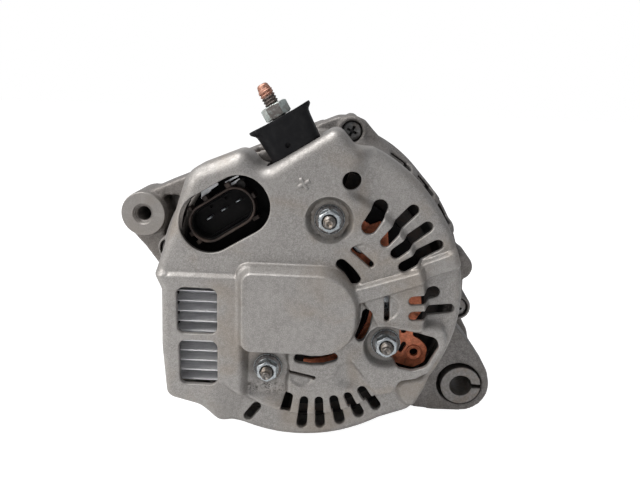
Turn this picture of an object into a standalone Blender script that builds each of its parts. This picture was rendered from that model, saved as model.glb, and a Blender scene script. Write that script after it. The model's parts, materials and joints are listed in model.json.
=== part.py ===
# Car alternator, a compact unit with internal fans.
# Metres, +Z up.  The shaft lies along Y: the rear cover faces -Y, the pulley +Y.
# Left and right are as seen from the rear, so left is -X.
# The origin is on the shaft axis, in the middle plane of the stator core.
# All lengths below are millimetres and angles are degrees; MM turns lengths into metres.
# Outlines lie in the XZ plane.  Outline points with three values are (x, z, corner radius).
import math
import bpy
import bmesh
import numpy as np
from mathutils import Vector
from mathutils.geometry import delaunay_2d_cdt

MM = 0.001
GAP = 0.3                      # clearance left between touching pieces
SMOOTH_ANGLE = math.radians(35)
ORIGIN = (0, 0, 0)
REARWARD, FORWARD = (0, -1, 0), (0, 1, 0)

# ---------------------------------------------------------------- shared dimensions
CORE_R, CORE_BORE_R, CORE_HALF = 64.0, 48.0, 14.7
HOUSING_R = 70.8               # outside of both end housings
SOCKET_R = 64.4                # step that holds the stator core
CAVITY_R = 61.5
RIM_Y = 9.0                    # open edge of each housing, to either side of the middle
SEAT_Y = CORE_HALF + GAP       # shoulder the core rests on
REAR_WALL_Y, FRONT_WALL_Y, WALL_T = -45.0, 46.0, 4.0
FLAT_DIST, FLAT_ANGLE = 66.6, 113.1     # flat on the upper left of the housings
FLAT_DRAFT = 2.0               # how much nearer the flat lies at the front end

BOLTS = ((16.2, 70.5, 6.6), (-65.8, 13.6, 6.0),       # x, z, radius of the rear boss
         (-15.0, -68.6, 6.2), (69.2, -9.3, 6.2))
BOLT_HOLE_R = 3.0
PIVOT = (74.2, -49.2)          # centre of the pivot ears
PIVOT_BUSH_R, PIVOT_BORE_R = 9.6, 5.2
LUG = (-84.7, 24.8)            # centre of the threaded adjuster lug
LUG_R, LUG_BORE_R = 11.1, 3.4

NUTS = ((8.3, 37.2), (-16.0, -29.4), (34.2, -15.6))   # nuts that hold the rear cover
STUD_HOLE_R = 2.9

SHAFT_R, SHAFT_REAR_R = 8.5, 7.5
SHAFT_BORE_R = SHAFT_R + GAP
REAR_BEARING_R, FRONT_BEARING_R = 17.5, 23.5
RETAINER_ANGLES = (90, 210, 330)        # screws of the front bearing's retainer
RETAINER_SCREW_PITCH_R = 27.4
RING_Y = (-62.4, -67.8)        # middles of the slip rings

TERM_LEAN = 30.5               # output stud, leaning to the left of vertical
TERM_ORIGIN = (-13.3, -54.0, 76.15)     # point on the stud's axis
TERM_DIR = (-math.sin(math.radians(TERM_LEAN)), 0.0, math.cos(math.radians(TERM_LEAN)))

# ---------------------------------------------------------------- materials
FINISHES = {                   # base colour, roughness, metallic
    'cover': ((0.62, 0.60, 0.57), 0.45, 0.85),
    'cast': ((0.48, 0.46, 0.43), 0.60, 0.80),
    'zinc': ((0.62, 0.66, 0.68), 0.30, 1.0),
    'steel': ((0.45, 0.44, 0.43), 0.40, 1.0),
    'lamination': ((0.30, 0.30, 0.31), 0.55, 0.9),
    'copper': ((0.62, 0.28, 0.14), 0.40, 0.9),
    'plastic': ((0.03, 0.03, 0.03), 0.50, 0.0),
    'aluminium': ((0.70, 0.70, 0.70), 0.40, 0.95),
    'carbon': ((0.07, 0.065, 0.06), 0.65, 0.1),
    'dark_steel': ((0.16, 0.16, 0.17), 0.45, 0.9),
}


def make_material(name, finish):
    colour, roughness, metallic = FINISHES[finish]
    mat = bpy.data.materials.new(name)
    mat.use_nodes = True
    shader = mat.node_tree.nodes['Principled BSDF']
    shader.inputs['Base Color'].default_value = (*colour, 1.0)
    shader.inputs['Roughness'].default_value = roughness
    shader.inputs['Metallic'].default_value = metallic
    mat.diffuse_color = (*colour, 1.0)
    return mat


# ---------------------------------------------------------------- outlines
def polar(radius, angle):
    return (radius * math.cos(math.radians(angle)), radius * math.sin(math.radians(angle)))


def circle(cx, cz, radius, count, start=0.0):
    """Points of a circle; start is in radians."""
    return [(cx + radius * math.cos(start + 2 * math.pi * i / count),
             cz + radius * math.sin(start + 2 * math.pi * i / count)) for i in range(count)]


def arc(cx, cz, radius, start, end, count):
    angles = [math.radians(start + (end - start) * i / (count - 1)) for i in range(count)]
    return [(cx + radius * math.cos(a), cz + radius * math.sin(a)) for a in angles]


def sharp(points):
    """Gives plain points a corner radius of nought."""
    return [(x, z, 0) for x, z in points]


def sector(inner_r, outer_r, start, end, count):
    return arc(0, 0, outer_r, start, end, count) + arc(0, 0, inner_r, end, start, count)


def turned_point(point, centre, angle):
    """A point given from a centre, turned about it."""
    c, s = math.cos(math.radians(angle)), math.sin(math.radians(angle))
    u, v = point
    return (centre[0] + u * c - v * s, centre[1] + u * s + v * c)


def corners(half_u, half_v):
    return ((-half_u, -half_v), (half_u, -half_v), (half_u, half_v), (-half_u, half_v))


def turned_rectangle(centre, angle, half_length, half_width, radius, step):
    return rounded([(*turned_point(corner, centre, angle), radius)
                    for corner in corners(half_length, half_width)], step)


def rectangle(y0, y1, half_z):
    return [(y0, -half_z), (y0, half_z), (y1, half_z), (y1, -half_z)]


def rounded(points, step=0.9):
    """Polygon whose corners (x, z, radius) are replaced by arcs; step is the
    largest distance between arc points."""
    out = []
    for i, (x, z, radius) in enumerate(points):
        if radius <= 0:
            out.append((x, z))
            continue
        corner = Vector((x, z))
        before = Vector(points[i - 1][:2]) - corner
        after = Vector(points[(i + 1) % len(points)][:2]) - corner
        before_length, after_length = before.length, after.length
        before.normalize()
        after.normalize()
        half = 0.5 * math.acos(max(-1.0, min(1.0, before.dot(after))))
        if half > math.radians(89.0):
            out.append((x, z))
            continue
        reach = min(radius / math.tan(half), 0.49 * before_length, 0.49 * after_length)
        radius = reach * math.tan(half)
        centre = corner + (before + after).normalized() * (radius / math.sin(half))
        start = corner + before * reach - centre
        end = corner + after * reach - centre
        sweep = math.pi - 2 * half
        sign = 1.0 if start.x * end.y - start.y * end.x > 0 else -1.0
        count = max(2, int(math.ceil(radius * sweep / step)) + 1)
        for q in range(count):
            turn = sign * sweep * q / (count - 1)
            out.append((centre.x + start.x * math.cos(turn) - start.y * math.sin(turn),
                        centre.y + start.x * math.sin(turn) + start.y * math.cos(turn)))
    return out


CAP_SEGMENTS = 3               # segments of a slot's round end


def slot_cap(centre, offset, radius):
    base = math.atan2(offset.y, offset.x)
    return [(centre.x + radius * math.cos(base + math.pi * q / CAP_SEGMENTS),
             centre.y + radius * math.sin(base + math.pi * q / CAP_SEGMENTS))
            for q in range(1, CAP_SEGMENTS)]


def slot(path, width):
    """Outline of a round-ended slot along a path; width is one value or a tuple
    with a value per path point."""
    points = [Vector(p) for p in path]
    last = len(points) - 1
    widths = width if isinstance(width, tuple) else [width] * len(points)
    offsets = []
    for i in range(len(points)):
        along = (points[min(last, i + 1)] - points[max(0, i - 1)]).normalized()
        offsets.append(Vector((-along.y, along.x)) * (widths[i] / 2))
    left = [tuple(p + offset) for p, offset in zip(points, offsets)]
    right = [tuple(p - offset) for p, offset in zip(points, offsets)]
    start_cap = slot_cap(points[0], offsets[0], widths[0] / 2)
    end_cap = slot_cap(points[last], -offsets[last], widths[last] / 2)
    return [left[0]] + start_cap + right + end_cap + left[:0:-1]


def densify(loop, step):
    out = []
    for i in range(len(loop)):
        a, b = np.array(loop[i]), np.array(loop[(i + 1) % len(loop)])
        count = max(1, int(math.ceil(np.linalg.norm(b - a) / step)))
        for q in range(count):
            out.append(tuple(a + (b - a) * q / count))
    return out


def inside(points, loop):
    points = np.asarray(points, float)
    x0 = np.array([p[0] for p in loop])
    z0 = np.array([p[1] for p in loop])
    x1, z1 = np.roll(x0, -1), np.roll(z0, -1)
    result = np.zeros(len(points), bool)
    for i in range(len(x0)):
        if z0[i] == z1[i]:
            continue
        spans = (z0[i] > points[:, 1]) != (z1[i] > points[:, 1])
        crossing = (x1[i] - x0[i]) * (points[:, 1] - z0[i]) / (z1[i] - z0[i]) + x0[i]
        result ^= spans & (points[:, 0] < crossing)
    return result


def loop_distance(points, loop):
    """Distance to a closed loop and the nearest point on it."""
    points = np.asarray(points, float)
    best = np.full(len(points), 1e9)
    nearest = np.zeros((len(points), 2))
    for i in range(len(loop)):
        a, b = np.array(loop[i]), np.array(loop[(i + 1) % len(loop)])
        side = b - a
        length_squared = side.dot(side)
        if length_squared < 1e-12:
            continue
        t = np.clip(((points - a) @ side) / length_squared, 0, 1)
        foot = a + t[:, None] * side
        distance = np.hypot(*(points - foot).T)
        closer = distance < best
        best[closer] = distance[closer]
        nearest[closer] = foot[closer]
    return best, nearest


def signed_distance(points, loop):
    """Distance to a loop, positive inside it."""
    distance, _ = loop_distance(points, loop)
    return np.where(inside(points, loop), distance, -distance)


# ---------------------------------------------------------------- mesh helpers
def add_object(name, verts, faces, finish):
    """Closed mesh object from millimetre points; finish None gives no material."""
    mesh = bpy.data.meshes.new(name)
    mesh.from_pydata([tuple(c * MM for c in v) for v in verts], [], faces)
    mesh.validate()
    bm = bmesh.new()
    bm.from_mesh(mesh)
    bmesh.ops.recalc_face_normals(bm, faces=bm.faces[:])
    if bm.calc_volume(signed=True) < 0:
        bmesh.ops.reverse_faces(bm, faces=bm.faces[:])
    bm.to_mesh(mesh)
    bm.free()
    shade(mesh)
    ob = bpy.data.objects.new(name, mesh)
    if finish:
        mesh.materials.append(make_material(name + '_mat', finish))
    bpy.context.scene.collection.objects.link(ob)
    return ob


def shade(mesh):
    mesh.shade_smooth()
    mesh.set_sharp_from_angle(angle=SMOOTH_ANGLE)


def loft(rings, closed):
    """Skin over rings of equal length. closed joins the last ring to the first,
    otherwise the first and last are capped."""
    size, count = len(rings[0]), len(rings)
    verts = [p for ring in rings for p in ring]
    faces = []
    for i in range(count if closed else count - 1):
        a, b = i * size, ((i + 1) % count) * size
        for j in range(size):
            j2 = (j + 1) % size
            faces.append((a + j, a + j2, b + j2, b + j))
    if not closed:
        faces.append(tuple(range(size))[::-1])
        faces.append(tuple((count - 1) * size + j for j in range(size)))
    return verts, faces


def frame_of(direction):
    """Two unit vectors across a direction, and the unit direction."""
    along = Vector(direction).normalized()
    up = Vector((0, 0, 1)) if abs(along.z) < 0.9 else Vector((1, 0, 0))
    across = (up - along * up.dot(along)).normalized()
    return across, along.cross(across), along


HEX = True                     # marks a profile entry whose ring is a hexagon


def hexagon(angle):
    """Radius of a hexagon with an inner radius of one."""
    return 1.0 / math.cos((angle % (math.pi / 3)) - math.pi / 6)


def lathe(name, profile, segments, finish, origin=ORIGIN, direction=FORWARD, solid=False,
          phase=0.0):
    """Turns a profile of (radius, height) or (radius, height, HEX) about an axis.
    The profile is a closed section, or with solid an open one capped at both ends."""
    across1, across2, along = frame_of(direction)
    base = Vector(origin)
    rings = []
    for radius, height, *is_hex in profile:
        ring = []
        for j in range(segments):
            a = phase + 2 * math.pi * j / segments
            reach = radius * (hexagon(a) if is_hex else 1.0)
            ring.append(tuple(base + along * height
                              + (across1 * math.cos(a) + across2 * math.sin(a)) * reach))
        rings.append(ring)
    return add_object(name, *loft(rings, not solid), finish)


def triangulate(outer, holes, lines=(), points=()):
    """Constrained triangulation of a plate. Returns points and triangles."""
    coords, edges = [], []
    for loop in (outer, *holes, *lines):
        first = len(coords)
        coords.extend(loop)
        edges.extend((first + i, first + (i + 1) % len(loop)) for i in range(len(loop)))
    coords.extend(points)
    verts, _, tris, *_ = delaunay_2d_cdt([Vector(p) for p in coords], edges, [], 0, 1e-5)
    verts = np.array([(p.x, p.y) for p in verts])
    tris = np.array([t for t in tris if len(t) == 3])
    centres = verts[tris].mean(axis=1)
    keep = inside(centres, outer)
    for hole in holes:
        keep &= ~inside(centres, hole)
    tris = tris[keep]
    used = np.unique(tris)
    remap = -np.ones(len(verts), int)
    remap[used] = np.arange(len(used))
    verts, tris = verts[used], remap[tris]
    side1 = verts[tris[:, 1]] - verts[tris[:, 0]]
    side2 = verts[tris[:, 2]] - verts[tris[:, 0]]
    area = side1[:, 0] * side2[:, 1] - side2[:, 0] * side1[:, 1]
    tris[area < 0] = tris[area < 0][:, ::-1]
    return verts, tris


def boundary_edges(tris):
    seen = {}
    for t in tris:
        for a, b in ((t[0], t[1]), (t[1], t[2]), (t[2], t[0])):
            seen[(int(a), int(b))] = True
    return [e for e in seen if (e[1], e[0]) not in seen]


def plate_data(outer, holes, y0, y1):
    """Flat plate in the XZ plane between y0 and y1."""
    flat, tris = triangulate(outer, holes)
    n = len(flat)
    verts = [(p[0], y0, p[1]) for p in flat] + [(p[0], y1, p[1]) for p in flat]
    faces = [tuple(int(i) for i in t) for t in tris]
    faces += [tuple(int(i) + n for i in t[::-1]) for t in tris]
    faces += [(b, a, a + n, b + n) for a, b in boundary_edges(tris)]
    return verts, faces


def plate(name, outer, holes, y0, y1, finish):
    return add_object(name, *plate_data(outer, holes, y0, y1), finish)


def plate_across(name, outer, holes, x0, x1, finish):
    """Plate between x0 and x1 whose outlines are (y, z) points."""
    verts, faces = plate_data(outer, holes, x0, x1)
    return add_object(name, [(x, y, z) for y, x, z in verts], faces, finish)


# Tools are short-lived bodies that combine() uses up.
def plate_tool(outer, y0, y1):
    return plate('tool', outer, [], y0, y1, None)


def lathe_tool(profile, segments, origin=ORIGIN, direction=FORWARD, solid=True, phase=0.0):
    return lathe('tool', profile, segments, None, origin, direction, solid, phase)


def box_tool(low, high):
    verts = [(x, y, z) for x in (low[0], high[0]) for y in (low[1], high[1])
             for z in (low[2], high[2])]
    faces = [(0, 1, 3, 2), (4, 6, 7, 5), (0, 4, 5, 1), (2, 3, 7, 6), (0, 2, 6, 4), (1, 5, 7, 3)]
    return add_object('tool', verts, faces, None)


def combine(target, tools, operation):
    """Boolean of target with each tool, applied, and the tools removed."""
    for ob in [target] + tools:
        bm = bmesh.new()
        bm.from_mesh(ob.data)
        bmesh.ops.triangulate(bm, faces=[q for q in bm.faces if len(q.verts) > 3])
        bm.to_mesh(ob.data)
        bm.free()
    for tool in tools:
        mod = target.modifiers.new('boolean', 'BOOLEAN')
        mod.operation = operation
        mod.solver = 'EXACT'
        mod.object = tool
    bpy.context.view_layer.update()
    depsgraph = bpy.context.evaluated_depsgraph_get()
    mesh = bpy.data.meshes.new_from_object(target.evaluated_get(depsgraph))
    target.modifiers.clear()
    old = target.data
    mat = old.materials[0]
    target.data = mesh
    mesh.materials.clear()
    mesh.materials.append(mat)
    mesh.name = target.name
    bpy.data.meshes.remove(old)
    for tool in tools:
        bpy.data.objects.remove(tool, do_unlink=True)
    # weld and merge the slivers the boolean leaves on flat faces
    bm = bmesh.new()
    bm.from_mesh(mesh)
    bmesh.ops.remove_doubles(bm, verts=bm.verts[:], dist=0.000002)
    bmesh.ops.dissolve_limit(bm, angle_limit=math.radians(0.4), verts=bm.verts[:],
                             edges=bm.edges[:])
    bm.to_mesh(mesh)
    bm.free()
    for polygon in mesh.polygons:
        polygon.material_index = 0
    shade(mesh)
    return target


# ---------------------------------------------------------------- rear cover
COVER_FACE_Y = -66.0           # main level of the cover's face
COVER_BASE_Y = -46.0           # open edge of the cover's skirt
COVER_T = 2.2
COVER_FILLET = 3.6
COVER_CIRCLE = (-2.5, 4.0, 67.6)        # x, z, radius of the round parts of the outline

# heights on the face, from the main level outwards
DOME_H, FOOT_H = 7.5, 2.6      # the dome, and the ledge round its foot
LOW_STEP = -5.5                # lowered border
POCKET_H = -4.0                # floor of the nut pockets
RIB_H = 3.0
RIGHT_PAD_H, NUT_PAD_H = 1.7, 1.2
PANEL_H = 1.8                  # left-hand panel

COVER_STEP = 6.5               # point spacing along the outline
HOLE_STEP = 4.0 / 3            # point spacing round the corners of the windows
GRID = 11.0                    # point spacing inside the face

NOTCH_CENTRE = (-6.7, 63.7)    # skirt notch for the output terminal
NOTCH_HALF_LENGTH, NOTCH_HALF_WIDTH = 13.0, 3.5
NOTCH_Y = -62.9                # edge of the skirt within the notch

COVER_LEFT = [(10.4, 74.6, 4.6),        # peak beside the upper through bolt
              (-19.2, 56.2, 4.5),       # hollow left of the output terminal
              (-27.0, 64.4, 6.0),
              (-49.8, 55.0, 12.0),      # shoulder over the plug window
              (-63.6, 12.0, 4.2), (-60.6, 5.5, 4.2), (-61.2, -20.0, 60.0),
              (-59.6, -43.6, 5.0), (-45.5, -47.9, 8.0), (-37.0, -56.0, 8.0)]
COVER_LOWER_RIGHT = (47.0, -48.0, 7.0)  # corner beside the pivot ear
COVER_UPPER_RIGHT = (17.6, 66.2, 4.5)

COVER_SLOTS = (                # path, width or width at each path point
    # upper right
    ([(24.4, 35.6), (28.6, 42.6)], 6.5),
    ([(31.2, 29.5), (35.3, 34.5), (42.1, 41.9)], (4.3, 4.4, 4.8)),
    ([(35.8, 25.0), (41.2, 29.4), (48.3, 35.1)], 4.7),
    ([(39.3, 19.4), (45.7, 23.5), (53.1, 27.7)], 4.6),
    # right
    ([(43.9, 5.4), (48.6, 6.0), (53.0, 7.5)], (3.9, 4.2, 5.0)),
    ([(44.4, -1.2), (51.4, -0.7), (60.2, 0.4)], 4.1),
    # thin slits
    ([(18.6, 25.7), (25.8, 19.7)], 2.4),
    ([(33.0, 6.6), (33.5, -2.8)], 2.1),
    ([(-6.0, -29.8), (4.1, -31.9)], 1.6),
    # bottom, left to right
    ([(-21.1, -49.7), (-24.8, -54.7)], 4.0),
    ([(-6.3, -41.2), (-7.8, -47.4)], (3.5, 4.4)),
    ([(0.3, -42.5), (-0.8, -57.1)], (3.5, 4.5)),
    ([(6.7, -42.4), (7.4, -56.7)], (3.5, 4.3)),
    ([(13.1, -41.6), (16.0, -54.2)], (3.8, 4.7)),
    ([(19.1, -39.7), (24.3, -50.3)], (3.5, 4.7)),
    ([(25.0, -36.6), (31.6, -46.3)], (3.9, 4.5)),
    # curved slots round the dome
    (arc(0, 0, 23.8, 33.5, 54.6, 3), 4.4),
    (arc(0, 0, 25.5, -26.0, -3.2, 3), 4.3),
    ([(-2.7, -23.1), (2.5, -23.8), (7.5, -23.5), (12.1, -21.9)], 3.9))
COVER_ROUND_HOLE = (16.6, 53.6, 3.75)   # x, z, radius
LOBED_WINDOW = ((39.6, -7.0, 1.2), (44.6, -8.0, 1.2), (54.6, -10.6, 3.2), (56.2, -14.4, 3.0),
                (51.4, -24.0, 4.5), (45.6, -26.0, 5.0), (40.0, -25.0, 2.0),
                (35.6, -20.9, 0.8), (38.5, -17.4, 4.0), (39.9, -13.2, 3.0))
SINK_WINDOWS = (               # the two windows over the heat sink
    ((-53.9, 7.2, 3.2), (-53.9, -13.2, 3.2), (-37.0, -13.2, 3.2), (-37.0, 7.2, 3.2)),
    ((-53.4, -16.1, 3.2), (-53.2, -36.5, 3.2), (-37.0, -36.5, 3.2), (-37.0, -16.1, 3.2)))
PLUG_WINDOW = {'centre': (-34.2, 38.1), 'angle': 31, 'half_length': 19.5,
               'half_width': 12.4, 'radius': 12.0}

DOME = ((-27.0, 16.8, 5.0), (-27.0, -18.6, 5.0), (21.2, -18.6, 15.0), (21.2, 16.8, 16.0))
DOME_FOOT = ((-28.8, 18.2, 5.0), (-28.8, -18.8, 5.0), (22.0, -18.8, 15.3), (22.0, 18.2, 17.0))
RIGHT_PAD = ((22.0, 6.0, 0), (48.0, 13.2, 1), (49.5, 2.0, 2), (49.0, -7.6, 3), (45.5, -8.0, 2),
             (39.0, -6.8, 2), (30.0, -6.2, 3), (26.0, 0.0, 3))
NUT_PAD = ((14.0, -14.0, 0), (19.0, -22.0, 2), (25.5, -30.0, 3), (31.5, -38.5, 2.5),
           (38.5, -37.0, 3), (41.0, -31.5, 3), (47.5, -30.0, 3), (53.0, -26.5, 4),
           (59.5, -14.0, 4), (58.0, -6.5, 3), (48.0, -5.5, 0), (28.0, -5.5, 0))
POCKETS = (                    # x, z, radius of the pocket round each nut
    (NUTS[0][0], NUTS[0][1] + 0.4, 9.0), (*NUTS[1], 9.3), (*NUTS[2], 8.7))
NUT_SEAT_R = 6.7               # flat seat under each nut
POCKET_RING_R = (8.0, 8.3, 7.8)         # mesh rings round the nuts
POCKET_RAMP = 1.8


def cover_outline():
    points = COVER_LEFT + sharp(arc(*COVER_CIRCLE, -116.0, -58.0, 10)) + [COVER_LOWER_RIGHT]
    points += sharp(arc(*COVER_CIRCLE, -33.0, 66.0, 17)) + [COVER_UPPER_RIGHT]
    return densify(rounded(points, COVER_STEP), COVER_STEP * 1.6)


def in_notch(point):
    """True where the skirt is cut away for the output terminal."""
    c, s = math.cos(math.radians(TERM_LEAN)), math.sin(math.radians(TERM_LEAN))
    dx, dz = point[0] - NOTCH_CENTRE[0], point[1] - NOTCH_CENTRE[1]
    return (abs(dx * c + dz * s) < NOTCH_HALF_LENGTH
            and abs(-dx * s + dz * c) < NOTCH_HALF_WIDTH)


def with_notch_points(outline):
    """Adds a close pair of points where the outline enters and leaves the notch."""
    refined = []
    for i in range(len(outline)):
        a, b = np.array(outline[i]), np.array(outline[(i + 1) % len(outline)])
        refined.append(tuple(a))
        if in_notch(a) == in_notch(b):
            continue
        low, high = 0.0, 1.0
        for _ in range(18):
            middle = (low + high) / 2
            if in_notch(a + (b - a) * middle) == in_notch(a):
                low = middle
            else:
                high = middle
        margin = 0.06 / np.linalg.norm(b - a)
        for t in (low - margin, high + margin):
            if 0.02 < t < 0.98:
                refined.append(tuple(a + (b - a) * t))
    return refined


def cover_holes():
    holes = [circle(*COVER_ROUND_HOLE, 12)]
    holes += [circle(x, z, STUD_HOLE_R, 8) for x, z in NUTS]
    holes += [slot(path, width) for path, width in COVER_SLOTS]
    holes += [rounded(window, HOLE_STEP) for window in (LOBED_WINDOW, *SINK_WINDOWS)]
    holes.append(turned_rectangle(**PLUG_WINDOW, step=HOLE_STEP * 2))
    return holes


def ramp(distance, width):
    """Smooth step from 0 to 1, centred where distance is 0."""
    t = np.clip(distance / width + 0.5, 0, 1)
    return t * t * (3 - 2 * t)


def blend(height, level, weight):
    return height * (1 - weight) + level * weight


def cover_level(points):
    """Height of the face above its main level at each (x, z)."""
    x, z = points[:, 0], points[:, 1]
    nut_pad = ramp(signed_distance(points, rounded(NUT_PAD)), 2.4)
    # lowered border beyond a radius, reaching to a limit on the left
    border = ramp(np.hypot(x, z) - 50.2, 3.4)
    upper = ramp(x - (17.0 + (z - 46.0) * 0.2), 9.0)
    lower = ramp(x + 33.0, 14.0)
    border = border * np.where(z > 0, upper, lower) * (1 - nut_pad)
    height = LOW_STEP * border + NUT_PAD_H * nut_pad
    # rib that rises to the right, between a top and a bottom line
    rib_top = (10.2 + 0.335 * (x - 20.6) + 1.4 * ramp(x - 47.0, 2.0)
               + 0.08 * np.maximum(0, x - 47.0))
    rib_bottom = 3.9 + 0.373 * (x - 22.9)
    rib = ramp(rib_top - z, 1.8) * ramp(z - rib_bottom, 2.0) * ramp(x - 16.0, 3.0)
    height += RIB_H * rib
    right_pad = ramp(signed_distance(points, rounded(RIGHT_PAD)), 2.2)
    height += RIGHT_PAD_H * right_pad * (1 - rib)
    panel = ramp(-27.0 - x, 3.0) * ramp(12.2 - z, 2.6) * ramp(z + 46.0, 12.0)
    height += PANEL_H * panel
    # the second nut's pocket runs on downwards
    pocket = np.minimum(np.minimum(ramp(x + 25.4, POCKET_RAMP), ramp(-7.6 - x, 3.0)),
                        ramp(-20.0 - z, 2.0)) * ramp(z + 47.0, 6.0)
    for cx, cz, radius in POCKETS:
        pocket = np.maximum(pocket, ramp(radius - np.hypot(x - cx, z - cz), POCKET_RAMP))
    height = blend(height, POCKET_H, pocket)
    foot = ramp(signed_distance(points, rounded(DOME_FOOT)), 1.6)
    dome = ramp(signed_distance(points, rounded(DOME)), 2.8)
    return blend(blend(height, FOOT_H, foot), DOME_H, dome)


def grown(outline, amount):
    """Four-cornered outline round the shaft axis, grown outwards on all sides."""
    return [(x + math.copysign(1, x) * amount, z + math.copysign(1, z) * amount,
             radius + amount) for x, z, radius in outline]


def inward_normals(outline):
    """Unit normals of an anticlockwise outline."""
    tangents = np.roll(outline, -1, 0) - np.roll(outline, 1, 0)
    tangents /= np.linalg.norm(tangents, axis=1)[:, None]
    return np.stack([-tangents[:, 1], tangents[:, 0]], 1)


def fillet_points(outline, normals):
    """Rows of points along the outline that carry the fillet's curve."""
    points = []
    for angle in (30, 60, 90):
        depth = COVER_FILLET * (1 - math.cos(math.radians(angle)))
        ring = np.array(outline) + normals * depth
        distance, _ = loop_distance(ring, outline)
        points += [tuple(p) for p, dist in zip(ring, distance) if dist > depth * 0.985]
    return points


def face_points(outline, holes, lines):
    """Points along the level changes, and an even grid that fills the rest."""
    candidates = []
    for radius in (46.4, 50.0):
        candidates += arc(0, 0, radius, -118, 70, 24)
    for (x, z), radius in zip(NUTS, POCKET_RING_R):
        candidates += circle(x, z, radius, 14)
        candidates += circle(x, z, radius + POCKET_RAMP, 14)
    for pad in (RIGHT_PAD, NUT_PAD):
        candidates += densify(rounded(pad, GRID * 0.6), GRID * 0.9)
    for row in range(15):
        z = -70 + row * GRID * 0.866
        for column in range(13):
            candidates.append((-68 + column * GRID + (0.5 * GRID if row % 2 else 0), z))
    candidates = np.array(candidates)
    distance, _ = loop_distance(candidates, outline)
    clear = inside(candidates, outline) & (distance > COVER_FILLET + 0.3 * GRID)
    for loop in holes + lines:
        distance, _ = loop_distance(candidates, loop)
        clear &= distance > 0.38 * GRID
    for hole in holes:
        clear &= ~inside(candidates, hole)
    return thinned(candidates[clear], 0.55 * GRID)


def thinned(points, spacing):
    """Drops each point that lies within the spacing of an earlier one."""
    chosen = []
    cells = {}
    for p in points:
        column, row = int(p[0] // spacing), int(p[1] // spacing)
        neighbours = [q for i in (-1, 0, 1) for j in (-1, 0, 1)
                      for q in cells.get((column + i, row + j), ())]
        if all((q[0] - p[0]) ** 2 + (q[1] - p[1]) ** 2 >= spacing * spacing
               for q in neighbours):
            cells.setdefault((column, row), []).append(p)
            chosen.append(tuple(p))
    return chosen


def inward_directions(points, outline, normals):
    """Distance from the outline and the unit direction away from it."""
    distance, nearest = loop_distance(points, outline)
    distance = np.where(distance < 1e-4, 0, distance)
    away = points - nearest
    length = np.hypot(away[:, 0], away[:, 1])
    off_edge = length > 1e-4
    directions = np.zeros_like(points)
    directions[off_edge] = away[off_edge] / length[off_edge][:, None]
    corner_points = np.array(outline)
    for i in np.where(~off_edge)[0]:
        directions[i] = normals[int(np.argmin(np.hypot(*(corner_points - points[i]).T)))]
    return distance, directions


def build_rear_cover():
    """Face of even thickness with raised and lowered levels, turned over a fillet
    into a skirt."""
    outline = with_notch_points(cover_outline())
    holes = cover_holes()
    lines = [rounded(grown(DOME_FOOT, 0.8), COVER_STEP * 0.62),
             rounded(grown(DOME, -1.2), COVER_STEP * 0.62)]
    lines += [circle(x, z, NUT_SEAT_R, 12) for x, z in NUTS]
    normals = inward_normals(np.array(outline))
    extra = fillet_points(outline, normals) + face_points(outline, holes, lines)
    flat, tris = triangulate(outline, holes, lines, extra)
    distance, directions = inward_directions(flat, outline, normals)

    # the inner surface is offset along the fillet's radius
    lean = np.clip(1 - distance / COVER_FILLET, 0, 1)
    rise = np.sqrt(1 - lean * lean)
    outer_h = cover_level(flat) - COVER_FILLET * (1 - rise)
    inner_h = outer_h - COVER_T * rise
    inner_flat = flat + directions * (COVER_T * lean)[:, None]
    n = len(flat)
    verts = [(p[0], COVER_FACE_Y - h, p[1]) for p, h in zip(flat, outer_h)]
    verts += [(p[0], COVER_FACE_Y - h, p[1]) for p, h in zip(inner_flat, inner_h)]
    faces = [tuple(int(i) for i in t) for t in tris]
    faces += [tuple(int(i) + n for i in t[::-1]) for t in tris]
    skirt = {}                 # face point to the outer one of its two skirt points
    for a, b in boundary_edges(tris):
        if distance[a] > 0.02 or distance[b] > 0.02:
            faces.append((b, a, a + n, b + n))
            continue
        for i in (a, b):
            if i not in skirt:
                skirt[i] = len(verts)
                y = NOTCH_Y if in_notch(flat[i]) else COVER_BASE_Y
                y = max(y, verts[i][1] + 0.4)
                verts.append((flat[i, 0], y, flat[i, 1]))
                verts.append((inner_flat[i, 0], y, inner_flat[i, 1]))
        foot_a, foot_b = skirt[a], skirt[b]
        faces.append((b, a, foot_a, foot_b))
        faces.append((foot_b, foot_a, foot_a + 1, foot_b + 1))
        faces.append((foot_b + 1, foot_a + 1, a + n, b + n))
    add_object('rear_cover', verts, faces, 'cover')


# profiles of (radius, height towards the rear)
COVER_NUT = [(2.65, 0.3), (6.0, 0.3), (6.0, 1.3), (4.0, 1.9, HEX), (4.0, 5.2, HEX), (2.65, 5.2)]
COVER_STUD = [(2.5, 0.0), (2.5, 27.2), (1.7, 28.0), (1.7, 30.0)]
STUD_BASE_Y = -41.6


def build_cover_fasteners():
    for i, (x, z) in enumerate(NUTS, 1):
        lathe('cover_nut_%d' % i, COVER_NUT, 12, 'zinc', (x, COVER_FACE_Y - POCKET_H, z),
              REARWARD)
        lathe('cover_stud_%d' % i, COVER_STUD, 12, 'steel', (x, STUD_BASE_Y, z), REARWARD,
              solid=True)


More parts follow.
